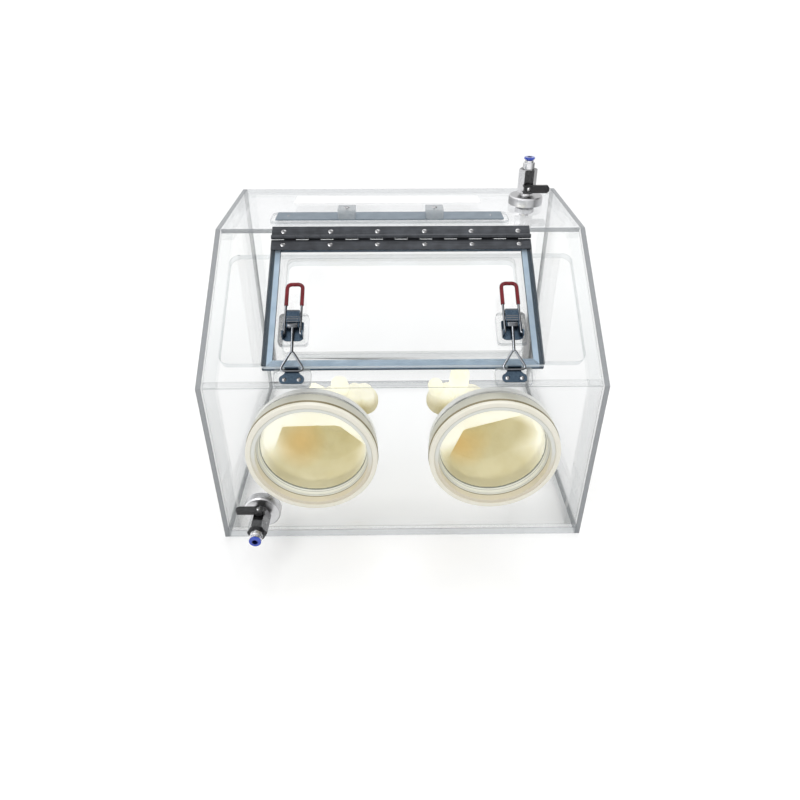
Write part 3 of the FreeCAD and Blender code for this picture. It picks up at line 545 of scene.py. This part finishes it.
valve_chrome = plated_with_painted_reflections("valve_chrome", body_painted_reflections, 0.06, 0.2)
turned_painted_reflections = [(-1, 0.45), (-0.7, 0.9), (0.05, 0.85), (0.35, 0.45), (0.6, 0.12), (0.85, 0.30),
                (1, 0.5)]
fitting_chrome = plated_with_painted_reflections("fitting_chrome", turned_painted_reflections, 0.6, 0.16, bore=0.0058,
                          slot="valve_chrome")
flange_painted_reflections = [(-1, 0.30), (-0.8, 0.45), (-0.55, 0.95), (-0.1, 0.8), (0.2, 0.45), (0.38, 0.16),
                (0.6, 0.42), (0.8, 0.6), (1, 0.5)]
valve_aluminium = plated_with_painted_reflections("valve_aluminium", flange_painted_reflections, 0.42, 0.3)
strip_metal = brushed("strip_metal", (0.15, 0.19, 0.23), (0.22, 0.27, 0.32), (0.02, 1, 1),
                      0.42, 0.5)
red_vinyl = moulded("red_vinyl", (0.11, 0.001, 0.005), (0.19, 0.002, 0.010), 0.26, coat=0.15,
                    shine=0.3)
clamp_plastic = moulded("clamp_plastic", (0.90, 0.90, 0.87), (0.95, 0.95, 0.92), 0.4,
                        slot="port_plastic")
seal_rubber = moulded("seal_rubber", (0.20, 0.17, 0.09), (0.30, 0.26, 0.16), 0.5)
black_plastic = moulded("black_plastic", (0.006, 0.006, 0.007), (0.016, 0.016, 0.018), 0.42,
                        depth=0.04)
blue_plastic = moulded("blue_plastic", (0.010, 0.045, 0.42), (0.016, 0.075, 0.56), 0.16,
                       coat=0.6, bore=0.0048)
seat_plastic = moulded("seat_plastic", (0.80, 0.80, 0.78), (0.9, 0.9, 0.88), 0.4)
white_plate = moulded("white_plate", (0.93, 0.93, 0.94), (0.97, 0.97, 0.97), 0.4, grain=900.0)

# %% Sponge rubber, pale blue on its broad face, with painted navy shade on its cut sides and along its rim
door_half = max(abs(v.co.x) for v in nodes["door_gasket"].data.vertices)
print("half the width over the gasket:", round(door_half * 1000, 1), "mm")
gasket_rubber, tree, place = new_finish("gasket_rubber")
clouds = speckle(tree, place, 40.0)
facing = vectors(tree, "DOT_PRODUCT", place.outputs["Normal"], slope_normal)
pale = two_tones(tree, clouds, (0.40, 0.53, 0.66), (0.52, 0.65, 0.77))
# painted shade: faces that don't face out of the slope go navy
colour = mixed(tree, between(tree, facing, 0.0, 1.0, 0.5, 0.9), (0.045, 0.085, 0.13), pale)
across = maths(tree, "ABSOLUTE", axes(tree, place)[0])
# painted shade: a dark band along the outer rim
rim_shade = between(tree, across, 0.0, 1.0, door_half - 0.0062, door_half - 0.0054)
finished(gasket_rubber, add(tree, "BsdfPrincipled", {
    "Base Color": mixed(tree, rim_shade, colour, (0.03, 0.058, 0.085)), "Specular IOR Level": 0.25,
    "Roughness": between(tree, clouds, 0.55, 0.68),
    "Normal": bumped(tree, speckle(tree, place, 2500.0), 0.08)}))
print("finishes made:", len(bpy.data.materials))

# %% [markdown]
# ## Dressing the measured parts
# The flat and turned parts are right as they were measured, so they only get
# their finish. The measured model is never changed. A weld and a narrow bevel
# are laid over it as modifiers, so that its edges catch the light.

# %% Give every measured part its finish
dressing = [  # the finish, the width of its eased edges in millimetres, the parts
    (acrylic_x, 0.5, ["left_side_panel", "right_side_panel"]),
    (acrylic_y, 0.5, ["back_panel", "front_lower_panel"]),
    (acrylic_z, 0.5, ["base_panel", "rest_strip_carrier"]),
    (acrylic_top, 0.5, ["top_panel"]),
    (acrylic_slope, 0.5, ["front_sloped_panel", "hinge_spacer_bar"]),
    (acrylic_opening, 0.4, ["opening_doubler"]),
    (acrylic_door, 0.5, ["door_panel"]),
    (acrylic_strip, 0, ["left_corner_strips", "right_corner_strips"]),
    (acrylic_block, 0.6, ["keeper_pads", "latch_pads"]),
    (acrylic_rest, 0.6, ["rest_blocks"]),
    (hinge_steel, 0, ["hinge_fixed_leaf", "hinge_door_leaf", "hinge_pin"]),
    (gasket_rubber, 0, ["door_gasket"]),
    (clamp_plastic, 0, ["port_clamp_rings"]),
    (valve_aluminium, 0.3, ["top_valve_flange", "front_valve_flange"]),
    (valve_chrome, 0, ["top_valve_body", "front_valve_body"]),
    (fitting_chrome, 0, ["top_valve_fitting", "front_valve_fitting", "top_valve_ball_and_stem",
                         "front_valve_ball_and_stem", "valve_lock_nuts"]),
    (black_plastic, 0.7, ["top_valve_lever", "front_valve_lever"]),
    (blue_plastic, 0, ["top_release_collar", "front_release_collar"]),
    (seat_plastic, 0, ["valve_seats"]),
    (strip_metal, 0.15, ["rest_strip"]),
    (white_plate, 0.15, ["blank_plate"])]
for material, edge_width, names in dressing:
    for name in names:
        part = nodes[name]
        part.data.materials.clear()
        part.data.materials.append(material)
        if edge_width:
            part.modifiers.new("weld", "WELD").merge_threshold = 1e-6
            ease_edges(part, edge_width)
print("parts dressed:", sum(len(names) for _, _, names in dressing))

# %% [markdown]
# ## Glove ports
# A port ring is turned from ivory plastic: a broad flange with a groove for
# the O-ring that holds the glove, and a bore with a step. It is drawn as one
# outline and turned in many steps, because a coarse circle shows at this size.

# %% Ivory plastic, whiter inside the lip, with painted shade: darker on the outer wall behind the lip, browner low in the bore and at its step, and painted shadow lines in the bore
ring_plastic, tree, place = new_finish("port_plastic_ring", "port_plastic")
clouds = speckle(tree, place, 30.0)
x, y, z = axes(tree, place)
arm = add(tree, "CombineXYZ", {"X": maths(tree, "ABSOLUTE", x), "Z": z})
radius = vectors(tree, "DISTANCE", arm, (port_x * 0.001, 0, port_z * 0.001))
ivory = two_tones(tree, clouds, (0.84, 0.81, 0.69), (0.89, 0.86, 0.76))
outer_wall = between(tree, radius, 0.0, 1.0, 0.0985, 0.0989)
shade_behind_lip = between(tree, y, 0.0, 1.0, -0.2590, -0.2570)
# painted shade on the outer wall behind the lip
outside = mixed(tree, maths(tree, "MULTIPLY", outer_wall, shade_behind_lip), ivory, (0.60, 0.59, 0.50))
# painted shade: the bore lining goes browner towards the bottom
low = between(tree, z, 1.0, 0.0, port_z * 0.001 - 0.03, port_z * 0.001 + 0.01)
lining = mixed(tree, low, (0.76, 0.77, 0.72), (0.70, 0.64, 0.51))
# painted shade: brown at the bore's step and grey shadow lines deeper in
shaded_brown, shadow_line_grey, white = (0.30, 0.26, 0.17), (0.30, 0.32, 0.31), (0.84, 0.85, 0.83)
shaded_bands = [(0.0, shaded_brown), (0.12, shaded_brown), (0.16, (0.76, 0.77, 0.70)), (0.60, (0.86, 0.87, 0.84)),
         (0.66, shadow_line_grey), (0.72, white), (0.90, white), (1.0, shadow_line_grey)]
banded = ramped(tree, between(tree, y, 0.0, 1.0, -0.2535, -0.2395), shaded_bands)
lining = mixed(tree, between(tree, y, 0.0, 1.0, -0.2536, -0.2534), lining, banded)
colour = mixed(tree, between(tree, radius, 1.0, 0.0, 0.0907, 0.0912), outside, lining)
finished(ring_plastic, add(tree, "BsdfPrincipled", {
    "Base Color": colour, "Roughness": between(tree, clouds, 0.3, 0.4),
    "Normal": bumped(tree, speckle(tree, place, 1500.0), 0.02)}))

# %% Turn the port rings
ring_outline = [(82, -20), (87.8, -20), (87.8, 0), (99, 0), (99, 16), (95, 16), (95, 21),
                (99, 21), (99, 28), (91.6, 28), (91.3, 26.4), (90.6, 26.4), (90.3, 27.3),
                (85, 27.3), (85, 14), (84.2, 13.2), (82, 13.4)]
ring_easing = [0.6, 0.6, 0.3, 0.9, 0.9, 0.4, 0.4, 0.9, 2.2, 0.8, 0.2, 0.2, 0.3, 0.9, 0.2, 0.3, 0.6]
ring = turned(eased(ring_outline, ring_easing), 160)
for name, place in ports.items():
    make_piece(name + "_turned_port_ring", ring, place, ring_plastic, "case",
               [name + "_port_ring"])

# %% Lay the O-rings in their grooves
groove_middle, seal_centre_radius, seal_radius = 18.5, 97.5, 2.35
seal = turned(arc(seal_centre_radius, groove_middle, seal_radius, 0, 22.5, 16), 120)
seals = joined(*(moved(seal, place) for place in ports.values()))
make_piece("port_seal_rings", seals, as_drawn, seal_rubber, "case", ["port_o_rings"])

# %% [markdown]
# ## Screws
# Every screw has a low dome with a cross recess. One head is made with a
# Boolean that cuts two crossed wedges out of a turned dome, and the others are
# copies of its points, each turned by its own angle as a fitter leaves them.

# %% Make one screw head with a cross recess
def wedge(width, reach, top, bottom):
    """A four-sided wedge that narrows downward, for one bar of the recess."""
    half = width / 2
    upper = [(-reach, -half, top), (reach, -half, top), (reach, half, top), (-reach, half, top)]
    lower = [(x * 0.45, y * 0.6, bottom) for x, y, _ in upper]
    faces = [(0, 1, 2, 3), (7, 6, 5, 4), (0, 4, 5, 1), (1, 5, 6, 2), (2, 6, 7, 3), (3, 7, 4, 0)]
    return upper + lower, faces


def plain_object(name, shape):
    mesh = bpy.data.meshes.new(name)
    mesh.from_pydata([Vector(v) for v in shape[0]], [], shape[1])
    clean_mesh(mesh, 1e-5)
    return in_scene(name, mesh)


def with_modifiers(item):
    """The points and faces of an object with its modifiers on it."""
    bpy.context.view_layer.update()
    result = item.evaluated_get(bpy.context.evaluated_depsgraph_get()).to_mesh()
    return [v.co.copy() for v in result.vertices], [tuple(p.vertices) for p in result.polygons]


def cut_shape(shape, cutter):
    """The points and faces of a shape with another one cut out of it."""
    body, tool = plain_object("blank", shape), plain_object("tool", cutter)
    boolean = body.modifiers.new("cut", "BOOLEAN")
    boolean.object, boolean.operation, boolean.solver = tool, "DIFFERENCE", "EXACT"
    result = with_modifiers(body)
    for item in (body, tool):
        bpy.data.objects.remove(item)
    return result


def screw_head(radius, height, shank=1.2, depth=2.0):
    sphere = (radius ** 2 + height ** 2) / (2 * height)
    rise = math.asin(radius / sphere)
    dome = [(sphere * math.sin(rise * i / 8), height - sphere * (1 - math.cos(rise * i / 8)))
            for i in range(9)]
    head = turned([(0, -depth), (shank, -depth), (shank, -0.02), (radius, -0.02)] + dome[::-1], 32)
    bar = wedge(radius * 0.30, radius * 0.62, height + 0.4, height - min(1.0, radius / 3.4))
    quarter = Matrix.Rotation(math.pi / 2, 4, "Z")
    crossed = cut_shape(cut_shape(head, bar), moved(bar, quarter))
    print("a screw head with its cross recess:", len(crossed[0]), "points")
    return crossed


# %% Put the screws in their places
def screw_set(name, head, places, body, stands_for, seed):
    draw = random.Random(seed)
    copies = [moved(head, place @ Matrix.Rotation(draw.uniform(0, math.pi), 4, "Z"))
              for place in places]
    make_piece(name, joined(*copies), as_drawn, screw_steel, body, stands_for, sharp=30)


def on_slope(x, s, h):
    return slope @ Matrix.Translation((x, s, h))


def by_latches(reach, s, h):
    """A place on either side of the middle of both latches."""
    return [on_slope(side * latch_x + x, s, h) for side in (-1, 1) for x in (-reach, reach)]


leaf_head = screw_head(4.0, 1.0)
first_x, screw_pitch, leaf_top = -186.25, 74.5, 15.2
for name, line, body in (("fixed", 267.7, "case"), ("door", 242.7, "door")):
    places = [on_slope(first_x + screw_pitch * i, line, leaf_top) for i in range(6)]
    screw_set("hinge_" + name + "_leaf_screw_heads", leaf_head, places, body,
              ["hinge_" + name + "_leaf_screws"], len(name))
screw_set("keeper_screw_heads", screw_head(3.4, 2.0), by_latches(10.5, 9, 11.5), "case",
          ["keeper_screws"], 5)
screw_set("latch_base_screw_heads", screw_head(2.4, 0.9), by_latches(7.2, 92.2, 23.5), "door",
          ["latch_base_screws"], 6)
rest_places = [frame_at(x, 47.5, 470.5) for x in (-89.5, 56.5)]
strip_places = [frame_at(x, 52.5, 455.5) for x in (-188.0, 152.0)]
top_heads = [moved(head, place) for head, places in (
    (screw_head(5.0, 2.0), rest_places), (screw_head(2.2, 0.8, 0.8, 1.4), strip_places))
    for place in places]
make_piece("rest_and_strip_screw_heads", joined(*top_heads), as_drawn, screw_steel, "case",
           ["rest_screws"], sharp=30)
lever_head = screw_head(3.6, 2.2)
for name, place in valves.items():
    lever_side = place @ Matrix.Translation((0, -22.3, 30)) @ Matrix.Rotation(math.pi / 2, 4, "X")
    make_piece(name + "_lever_screw_head", lever_head, lever_side, screw_steel,
               name + "_valve_handle", [name + "_lever_screw"], sharp=30)

# %% [markdown]
# ## Toggle latches
# Each latch has a stamped base with round ears, a wire handle with a dipped
# grip, a folded saddle between the wires and a hook of bent wire that pulls on
# the keeper. They are drawn once in the slope's frame, at x = 0, and made at
# both places. The wires are swept along eased paths, because a bent wire keeps
# one round section through every bend.

# %% Latch sizes, in millimetres on the slope
pad_top, pivot_s, pivot_h, swivel_s = 22.0, 74.0, 29.5, 87.0
arm_x, handle_end, wire_r, sheet = 11.5, 158.0, 1.75, 1.5
swivel_r, swivel_half = 3.8, 7.2


def bar_between(start, end, radius):
    """A round bar with softly rounded ends."""
    start, end = Vector(start), Vector(end)
    ease = (end - start).normalized() * 0.35
    path = [start, start + ease, end - ease, end]
    return swept(path, [radius - 0.35, radius, radius, radius - 0.35], 24)


def facing_across(shape, x=0.0):
    """Stand a plate up whose outline is (along the slope, out of it), to face across at x."""
    return moved(shape, Matrix(((0, 0, 1, x), (1, 0, 0, 0), (0, 1, 0, 0), (0, 0, 0, 1))))


# %% Bend the handle wire and dip its grip
handle_corners = [(-15.2, pivot_s, pivot_h), (-arm_x, pivot_s, pivot_h),
                  (-arm_x, handle_end, pivot_h), (arm_x, handle_end, pivot_h),
                  (arm_x, pivot_s, pivot_h), (15.2, pivot_s, pivot_h)]
handle_path = eased(handle_corners, [0, 2.6, 8, 8, 2.6, 0], 8, closed=False)
handle = swept(handle_path, wire_r)
grip_start, grip_r = 121.0, 2.95
grip_corners = [(-arm_x, grip_start, pivot_h), (-arm_x, handle_end, pivot_h),
                (arm_x, handle_end, pivot_h), (arm_x, grip_start, pivot_h)]
grip_turn = eased(grip_corners, 8, 10, closed=False)
lead = [Vector((0, step, 0)) for step in (0.5, 1.2, 2.2, 3.4)]
grip_path = ([grip_turn[0]] + [grip_turn[0] + d for d in lead] + grip_turn[1:-1]
             + [grip_turn[-1] + d for d in reversed(lead)] + [grip_turn[-1]])
grip_radii = [2.3, 2.75, 3.05, 3.08, 2.98] + [grip_r] * (len(grip_turn) - 2)
grip_radii += [2.98, 3.08, 3.05, 2.75, 2.3]
grip = sleeved(grip_path, grip_radii, wire_r + 0.02)

# %% Fold the saddle
saddle_top = pivot_h + wire_r + 0.1
saddle_low, saddle_high, saddle_x = 91.0, 112.0, 9.6
top_outline = eased([(-saddle_x, saddle_low), (saddle_x, saddle_low), (saddle_x, saddle_high),
                     (-saddle_x, saddle_high)], 1.5, 3)
saddle_plate = plate(top_outline, saddle_top, saddle_top + sheet)


def cheek(x):
    """A side wall of the saddle with a round end about the swivel."""
    outline = [(saddle_high, saddle_top), (swivel_s, saddle_top)]
    outline += arc(swivel_s, pivot_h, swivel_r, 90, 15, 13)
    outline += [(saddle_high - 3, pivot_h - swivel_r), (saddle_high, pivot_h - 1)]
    return facing_across(plate(outline, 0, sheet), x)


def rib(low, width, height):
    """A pressed rib across the saddle with a rounded top."""
    outline = [(low + width / 2 - width / 2 * math.cos(a), saddle_top + sheet - 0.05
                + height * math.sin(a)) for a in (math.pi * i / 8 for i in range(9))]
    return facing_across(plate(outline, -saddle_x + 0.9, saddle_x - 0.9))


saddle = joined(saddle_plate, cheek(-9.3), cheek(7.8))
ribs = joined(rib(91.6, 1.9, 0.55), rib(95.6, 2.0, 0.6), rib(99.2, 1.6, 0.5),
              rib(109.6, 1.8, 0.55))

# %% Bend the hook
hook_bar_s, hook_bar_h, hook_x = 21.9, 13.6, 18.5
swivel = Vector((0, swivel_s, pivot_h))
apex = Vector((0, pivot_s - 24.0, pivot_h - 5.5))
loop_path = eased([(-hook_x, hook_bar_s, hook_bar_h), apex, (hook_x, hook_bar_s, hook_bar_h)],
                  [5, 4, 5], 8)
along = (swivel - apex).normalized()
stem = bar_between(apex - along * 4.0, swivel + along * 3.5, 2.2)
barrel = turned(eased([(0.01, -swivel_half), (swivel_r, -swivel_half), (swivel_r, swivel_half),
                       (0.01, swivel_half)], [0, 0.6, 0.6, 0], 3), 28)
across = Matrix.Translation(swivel) @ Matrix.Rotation(math.pi / 2, 4, "Y")
hook = joined(swept(loop_path, wire_r, closed=True), stem, moved(barrel, across),
              bar_between((-9.4, swivel_s, pivot_h), (9.4, swivel_s, pivot_h), wire_r))

# %% Stamp the base and its ears
base_x, base_low, base_high = 15.3, 65.0, 97.0
ear_r, ear_thick = 5.0, 2.0
base_outline = eased([(-base_x, base_low), (base_x, base_low), (base_x, base_high),
                      (-base_x, base_high)], [8, 8, 3, 3], 6)
base_plate = plate(base_outline, pad_top, pad_top + sheet)


def ear(x):
    """A round ear with its web, in which the bent end of the handle turns."""
    outline = arc(pivot_s, pivot_h, ear_r, 0, 12, 16)
    outline += [(pivot_s - 5.6, pad_top + 0.6), (pivot_s - 6.2, pad_top + 0.1),
                (pivot_s + 6.2, pad_top + 0.1), (pivot_s + 5.6, pad_top + 0.6)]
    return facing_across(plate(outline, 0, ear_thick), x)


base = joined(base_plate, ear(-base_x), ear(base_x - ear_thick))

# %% Stamp the keeper
keeper_half = [(14.5, 2.5), (18, 6.5), (18, 11.5), (16.5, 14.2), (12.5, 17.0), (10, 20.5),
               (10, 25.5)]
keeper_outline = [(-x, y) for x, y in reversed(keeper_half)] + keeper_half
keeper_easing = [0.3, 5, 6, 4, 5, 6, 6, 6, 6, 5, 4, 6, 5, 0.3]
keeper_plate = plate(eased(keeper_outline, keeper_easing), 10.0, 11.5)
lip_outline = eased([(24.0, 11.0), (24.0, 18.5), (25.5, 18.5), (25.5, 11.0)],
                    [0.1, 0.6, 0.6, 0.1], 4)
keeper = joined(keeper_plate, facing_across(plate(lip_outline, -10, 10)))

# %% Put both latches together
for name, place in latches.items():
    lever, hook_body = name + "_latch_lever", name + "_hook"
    make_piece(name + "_handle_wire", handle, place, wire_steel, lever,
               [name + "_latch_handle"])
    make_piece(name + "_dipped_grip", grip, place, red_vinyl, lever, [name + "_latch_grip"])
    # The pressed ribs take the bright wire finish, a painted highlight along the ribs of the
    # saddle.
    make_piece(name + "_folded_saddle", saddle, place, latch_steel, lever,
               [name + "_latch_saddle"], bevel=0.25, accent=ribs, accent_material=wire_steel)
    make_piece(name + "_wire_hook", hook, place, wire_steel, hook_body,
               [name + "_latch_hook"])
for name, shape, body, node in (("latch_stamped_bases", base, "door", "latch_bases"),
                                ("keeper_stampings", keeper, "case", "keeper_plates")):
    make_piece(name, joined(*(moved(shape, place) for place in latches.values())), as_drawn,
               latch_steel, body, [node], bevel=0.3)

# %% [markdown]
# ## Gloves
# A glove is thin latex. Its sleeve is clamped round in the port and hangs in
# flat panes with sharp creases where it folds, and the hand stands up behind
# the front panel. The sleeve is the inside of a few leaning planes that cut a
# cone, which gives the panes. The hand is a heap of round shapes that a voxel
# remesh melts together. The wall is then given a thickness.

# %% Describe the sleeve as a cone with flaps that hang into it
mouth_r, wrist_r = 81.4, 41.0
mouth_depth, straight_depth, wrist_depth, flap_start = -2.0, 24.0, 112.0, 13.0
flaps = {  # direction round the axis in degrees, distance and depth of the crease
    "left": [(91, 12, 40), (159, 53, 34), (46, 36, 38), (262, 70, 60)],
    "right": [(107, 14, 40), (159, 40, 36), (20, 68, 50), (250, 72, 56)]}


def smooth_step(value):
    value = min(1.0, max(0.0, value))
    return value * value * (3 - 2 * value)


def sleeve_centre(inward, depth):
    run = smooth_step((depth - straight_depth) / (wrist_depth - straight_depth))
    return inward * 26 * run, -16 * run, mouth_r + (wrist_r - mouth_r) * run


def sleeve_radius(name, inward, angle, depth):
    """The cone, or the flap in front of it, whichever is nearer to the axis."""
    shift_x, shift_z, cone = sleeve_centre(inward, depth)
    radius = cone
    for direction, crease, crease_depth in flaps[name]:
        turn = math.radians(direction)
        facing = math.cos(angle - turn)
        if facing > 0.15 and depth > flap_start:
            fall = min(1.0, (depth - flap_start) / (crease_depth - flap_start))
            reach = mouth_r + 1 - (mouth_r + 1 - crease) * fall
            reach += 0.55 * max(0.0, depth - crease_depth)
            reach -= shift_x * math.cos(turn) + shift_z * math.sin(turn)
            radius = min(radius, reach / facing)
    return max(radius, 0.2 * cone)


def sleeve_shape(name, inward):
    """A closed sleeve from the port to the wrist, as points and faces."""
    around, steps = 160, 61
    vertices = []
    for step in range(steps + 1):
        depth = mouth_depth + (wrist_depth + 8 - mouth_depth) * step / steps
        shift_x, shift_z, _ = sleeve_centre(inward, depth)
        for side in range(around):
            angle = 2 * math.pi * side / around
            r = sleeve_radius(name, inward, angle, depth)
            vertices.append((shift_x + r * math.cos(angle), depth, shift_z + r * math.sin(angle)))
    return vertices, tube_faces(steps + 1, around)


# %% Describe the hand as round shapes
def capsule(start, end, radius_start, radius_end):
    """A bar with round ends, for a finger or a palm."""
    start, end = Vector(start), Vector(end)
    along = (end - start).normalized()
    caps = [math.radians(15 * i) for i in range(1, 6)]
    path = [start - along * radius_start * math.cos(a) for a in caps] + [start, end]
    path += [end + along * radius_end * math.cos(a) for a in reversed(caps)]
    radii = [radius_start * math.sin(a) for a in caps] + [radius_start, radius_end]
    radii += [radius_end * math.sin(a) for a in reversed(caps)]
    return swept(path, radii)


fingers = {  # place across, radius and height of the tip, from the port's middle
    "left": [(20, 11.5, 32), (34, 14.5, 55), (60, 15, 29), (78, 15, 27)],
    "right": [(-22, 12, 32), (-42, 16, 74), (-63, 15, 30), (-82, 12.5, 50)]}
thumbs = {"left": (-8, 9.5, 44), "right": (12, 9.5, 30)}
tip_depth = 120.0


def hand_shapes(name, inward):
    palm = Vector((inward * 46, 140, -8))
    wrist = Vector((inward * 26, wrist_depth, -16))
    shapes = [capsule(wrist, palm + Vector((0, -4, -6)), 38, 34)]
    for index, (across, radius, height) in enumerate(fingers[name]):
        knuckle = palm + Vector(((across - palm.x) * 0.55, -2, 4))
        root = palm + Vector(((across - palm.x) * 0.85, -6, 24))
        shapes.append(capsule(knuckle, root, 20, radius + 1))
        tip = Vector((across, tip_depth, height - radius))
        shapes.append(capsule(root, tip, radius + 1, radius))
    left_end, right_end = palm.x - 24, palm.x + 26
    shapes.append(capsule((left_end, 134, 0), (right_end, 134, 0), 26, 26))
    across, radius, height = thumbs[name]
    thumb_root = palm + Vector((-inward * 16, -6, 0))
    shapes.append(capsule(thumb_root, Vector((across, 118, height - radius)), 14, radius))
    return shapes


# %% Melt, open and thicken the gloves
def make_glove(name, inward, material):
    """One glove: sleeve and hand melted together, opened at the mouth, given a wall."""
    whole = joined(sleeve_shape(name, inward), *hand_shapes(name, inward))
    lump = plain_object(name + "_lump", whole)
    melt = lump.modifiers.new("melt", "REMESH")
    melt.mode, melt.voxel_size = "VOXEL", 2.0
    calm = lump.modifiers.new("calm", "SMOOTH")
    calm.factor, calm.iterations = 0.5, 2
    vertices, faces = with_modifiers(lump)
    bpy.data.objects.remove(lump)
    for v in vertices:
        crease = abs(noise.noise(v / 26.0)) + 0.5 * abs(noise.noise(v / 11.0))
        deep = smooth_step((v.y - 45) / 40)
        v.y += 1.6 * deep * crease
        v.z -= 2.2 * deep * crease
    faces = [f for f in faces if max(vertices[i].y for i in f) > mouth_depth + 2.6]
    used = sorted({i for f in faces for i in f})
    index = {old: new for new, old in enumerate(used)}
    shape = ([vertices[i] for i in used], [tuple(index[i] for i in f) for f in faces])
    place = frame_at(sides[name] * port_x, front_y, port_z)
    glove = make_piece(name + "_latex_glove", shape, place, material, "case",
                       [name + "_glove"], sharp=180)
    wall = glove.modifiers.new("wall", "SOLIDIFY")
    wall.thickness, wall.offset = 0.0009, -1.0


# %% Latex that lets light through, with a painted glow from emission, painted olive shade low and deep in the sleeve and a painted tan patch
def latex_finish(name, painted_patch_centre):
    material, tree, place = new_finish(name, "latex")
    clouds = speckle(tree, place, 22.0)
    _, y, z = axes(tree, place)
    deep = between(tree, y, 0.0, 1.0, -0.206, -0.176)
    low = between(tree, z, 1.0, 0.0, 0.186, 0.206)
    bottom = between(tree, z, 0.9, 0.0, port_z * 0.001 - 0.055, port_z * 0.001 - 0.012)
    # painted shade: olive deep and low in the sleeve, and near its bottom
    shaded = maths(tree, "MAXIMUM", maths(tree, "MULTIPLY", deep, low), bottom)
    cream = two_tones(tree, clouds, (0.96, 0.95, 0.86), (0.98, 0.975, 0.92))
    olive = two_tones(tree, clouds, (0.80, 0.75, 0.54), (0.86, 0.82, 0.63))
    # painted tan patch for light through doubled latex
    away = vectors(tree, "DISTANCE", place.outputs["Object"], painted_patch_centre)
    tan = between(tree, away, 0.6, 0.0, 0.005, 0.055)
    colour = mixed(tree, tan, mixed(tree, shaded, cream, olive), (0.95, 0.70, 0.30))
    skin = add(tree, "BsdfPrincipled", {
        "Base Color": colour, "Roughness": between(tree, clouds, 0.42, 0.58),
        "Sheen Weight": 0.15, "Normal": bumped(tree, speckle(tree, place, 900.0), 0.03)})
    through = add(tree, "BsdfTranslucent", {"Color": colour})
    both = add(tree, "MixShader", {0: 0.5, 1: skin, 2: through})
    # painted glow: the latex emits light, stronger where it is not shaded
    painted_glow = add(tree, "Emission", {
        "Color": colour, "Strength": between(tree, shaded, 0.155, 0.03, 0.0, 1.0)})
    return finished(material, add(tree, "AddShader", {0: both, 1: painted_glow}))


for name, side in sides.items():
    latex = latex_finish(name + "_latex", (side * port_x * 0.001 - 0.040, -0.155, 0.140))
    make_glove(name, -side, latex)

# %% [markdown]
# ## Floor, world and lamps
# The object stands on a plain pale floor. To the camera, in gloss and through
# the sheets the floor glows a little, so it reads as white paper and still
# keeps a soft shadow. It glows most under the case, a painted pool of light
# where sheet on sheet would grey it. The world is white to the same rays, and
# softer as a light. Three broad lamps give shape to the metal.

# %% Lay the floor
def stage_plane(name, size, z):
    mesh = bpy.data.meshes.new(name)
    mesh.from_pydata([(-size, -size, z), (size, -size, z), (size, size, z), (-size, size, z)], [],
                     [(0, 1, 2, 3)])
    plane = in_scene(name, mesh)
    return plane


def seen(tree):
    """One for rays from the camera, from gloss and through glass, nought for others."""
    rays = add(tree, "LightPath").outputs
    camera_or_gloss = maths(tree, "MAXIMUM", rays["Is Camera Ray"], rays["Is Glossy Ray"])
    return maths(tree, "MAXIMUM", camera_or_gloss, rays["Is Transmission Ray"])


floor = stage_plane("floor", 40.0, -0.0004)
floor_finish, tree, place = new_finish("pale_floor")
paper = add(tree, "BsdfPrincipled", {"Base Color": (0.80, 0.80, 0.80, 1), "Roughness": 0.12,
                                     "Specular IOR Level": 0.35})
x, y, _ = axes(tree, place)
# painted light: the floor glows more under the case
painted_light_under_case = maths(tree, "MULTIPLY", between(tree, maths(tree, "ABSOLUTE", x), 1.0, 0.0, 0.285, 0.30),
              between(tree, y, 0.0, 1.0, -0.225, -0.13))
painted_light_under_case = maths(tree, "MULTIPLY", painted_light_under_case, between(tree, y, 1.0, 0.0, 0.22, 0.24))
glow = add(tree, "Emission", {"Color": (1, 1, 1, 1),
                              "Strength": between(tree, painted_light_under_case, 0.24, 0.46, 0.0, 1.0)})
lit = add(tree, "AddShader", {0: paper, 1: glow})
finished(floor_finish, add(tree, "MixShader", {0: seen(tree), 1: paper, 2: lit}))
floor.data.materials.append(floor_finish)

# %% Light the world
world = bpy.data.worlds.new("studio")
bpy.context.scene.world = world
world.use_nodes = True
tree = world.node_tree
tree.nodes.clear()
sky = add(tree, "Background", {"Color": (1, 1, 1, 1),
                               "Strength": between(tree, seen(tree), 0.78, 1.0, 0.0, 1.0)})
add(tree, "OutputWorld", {"Surface": sky})


def lamp(name, place, size, power):
    """A broad soft lamp that looks at the middle of the case."""
    data = bpy.data.lights.new(name, "AREA")
    data.shape, data.size, data.energy = "SQUARE", size, power
    item = in_scene(name, data)
    item.location = place
    item.rotation_euler = (Vector((0, 0, 0.25)) - Vector(place)).to_track_quat("-Z", "Y").to_euler()
    print(name, power, "W at", place)


lamp("key_lamp", (-1.2, -1.3, 1.9), 1.0, 12)
lamp("fill_lamp", (1.6, -1.0, 1.3), 1.2, 6)
lamp("top_lamp", (0.2, 0.9, 2.2), 1.2, 8)
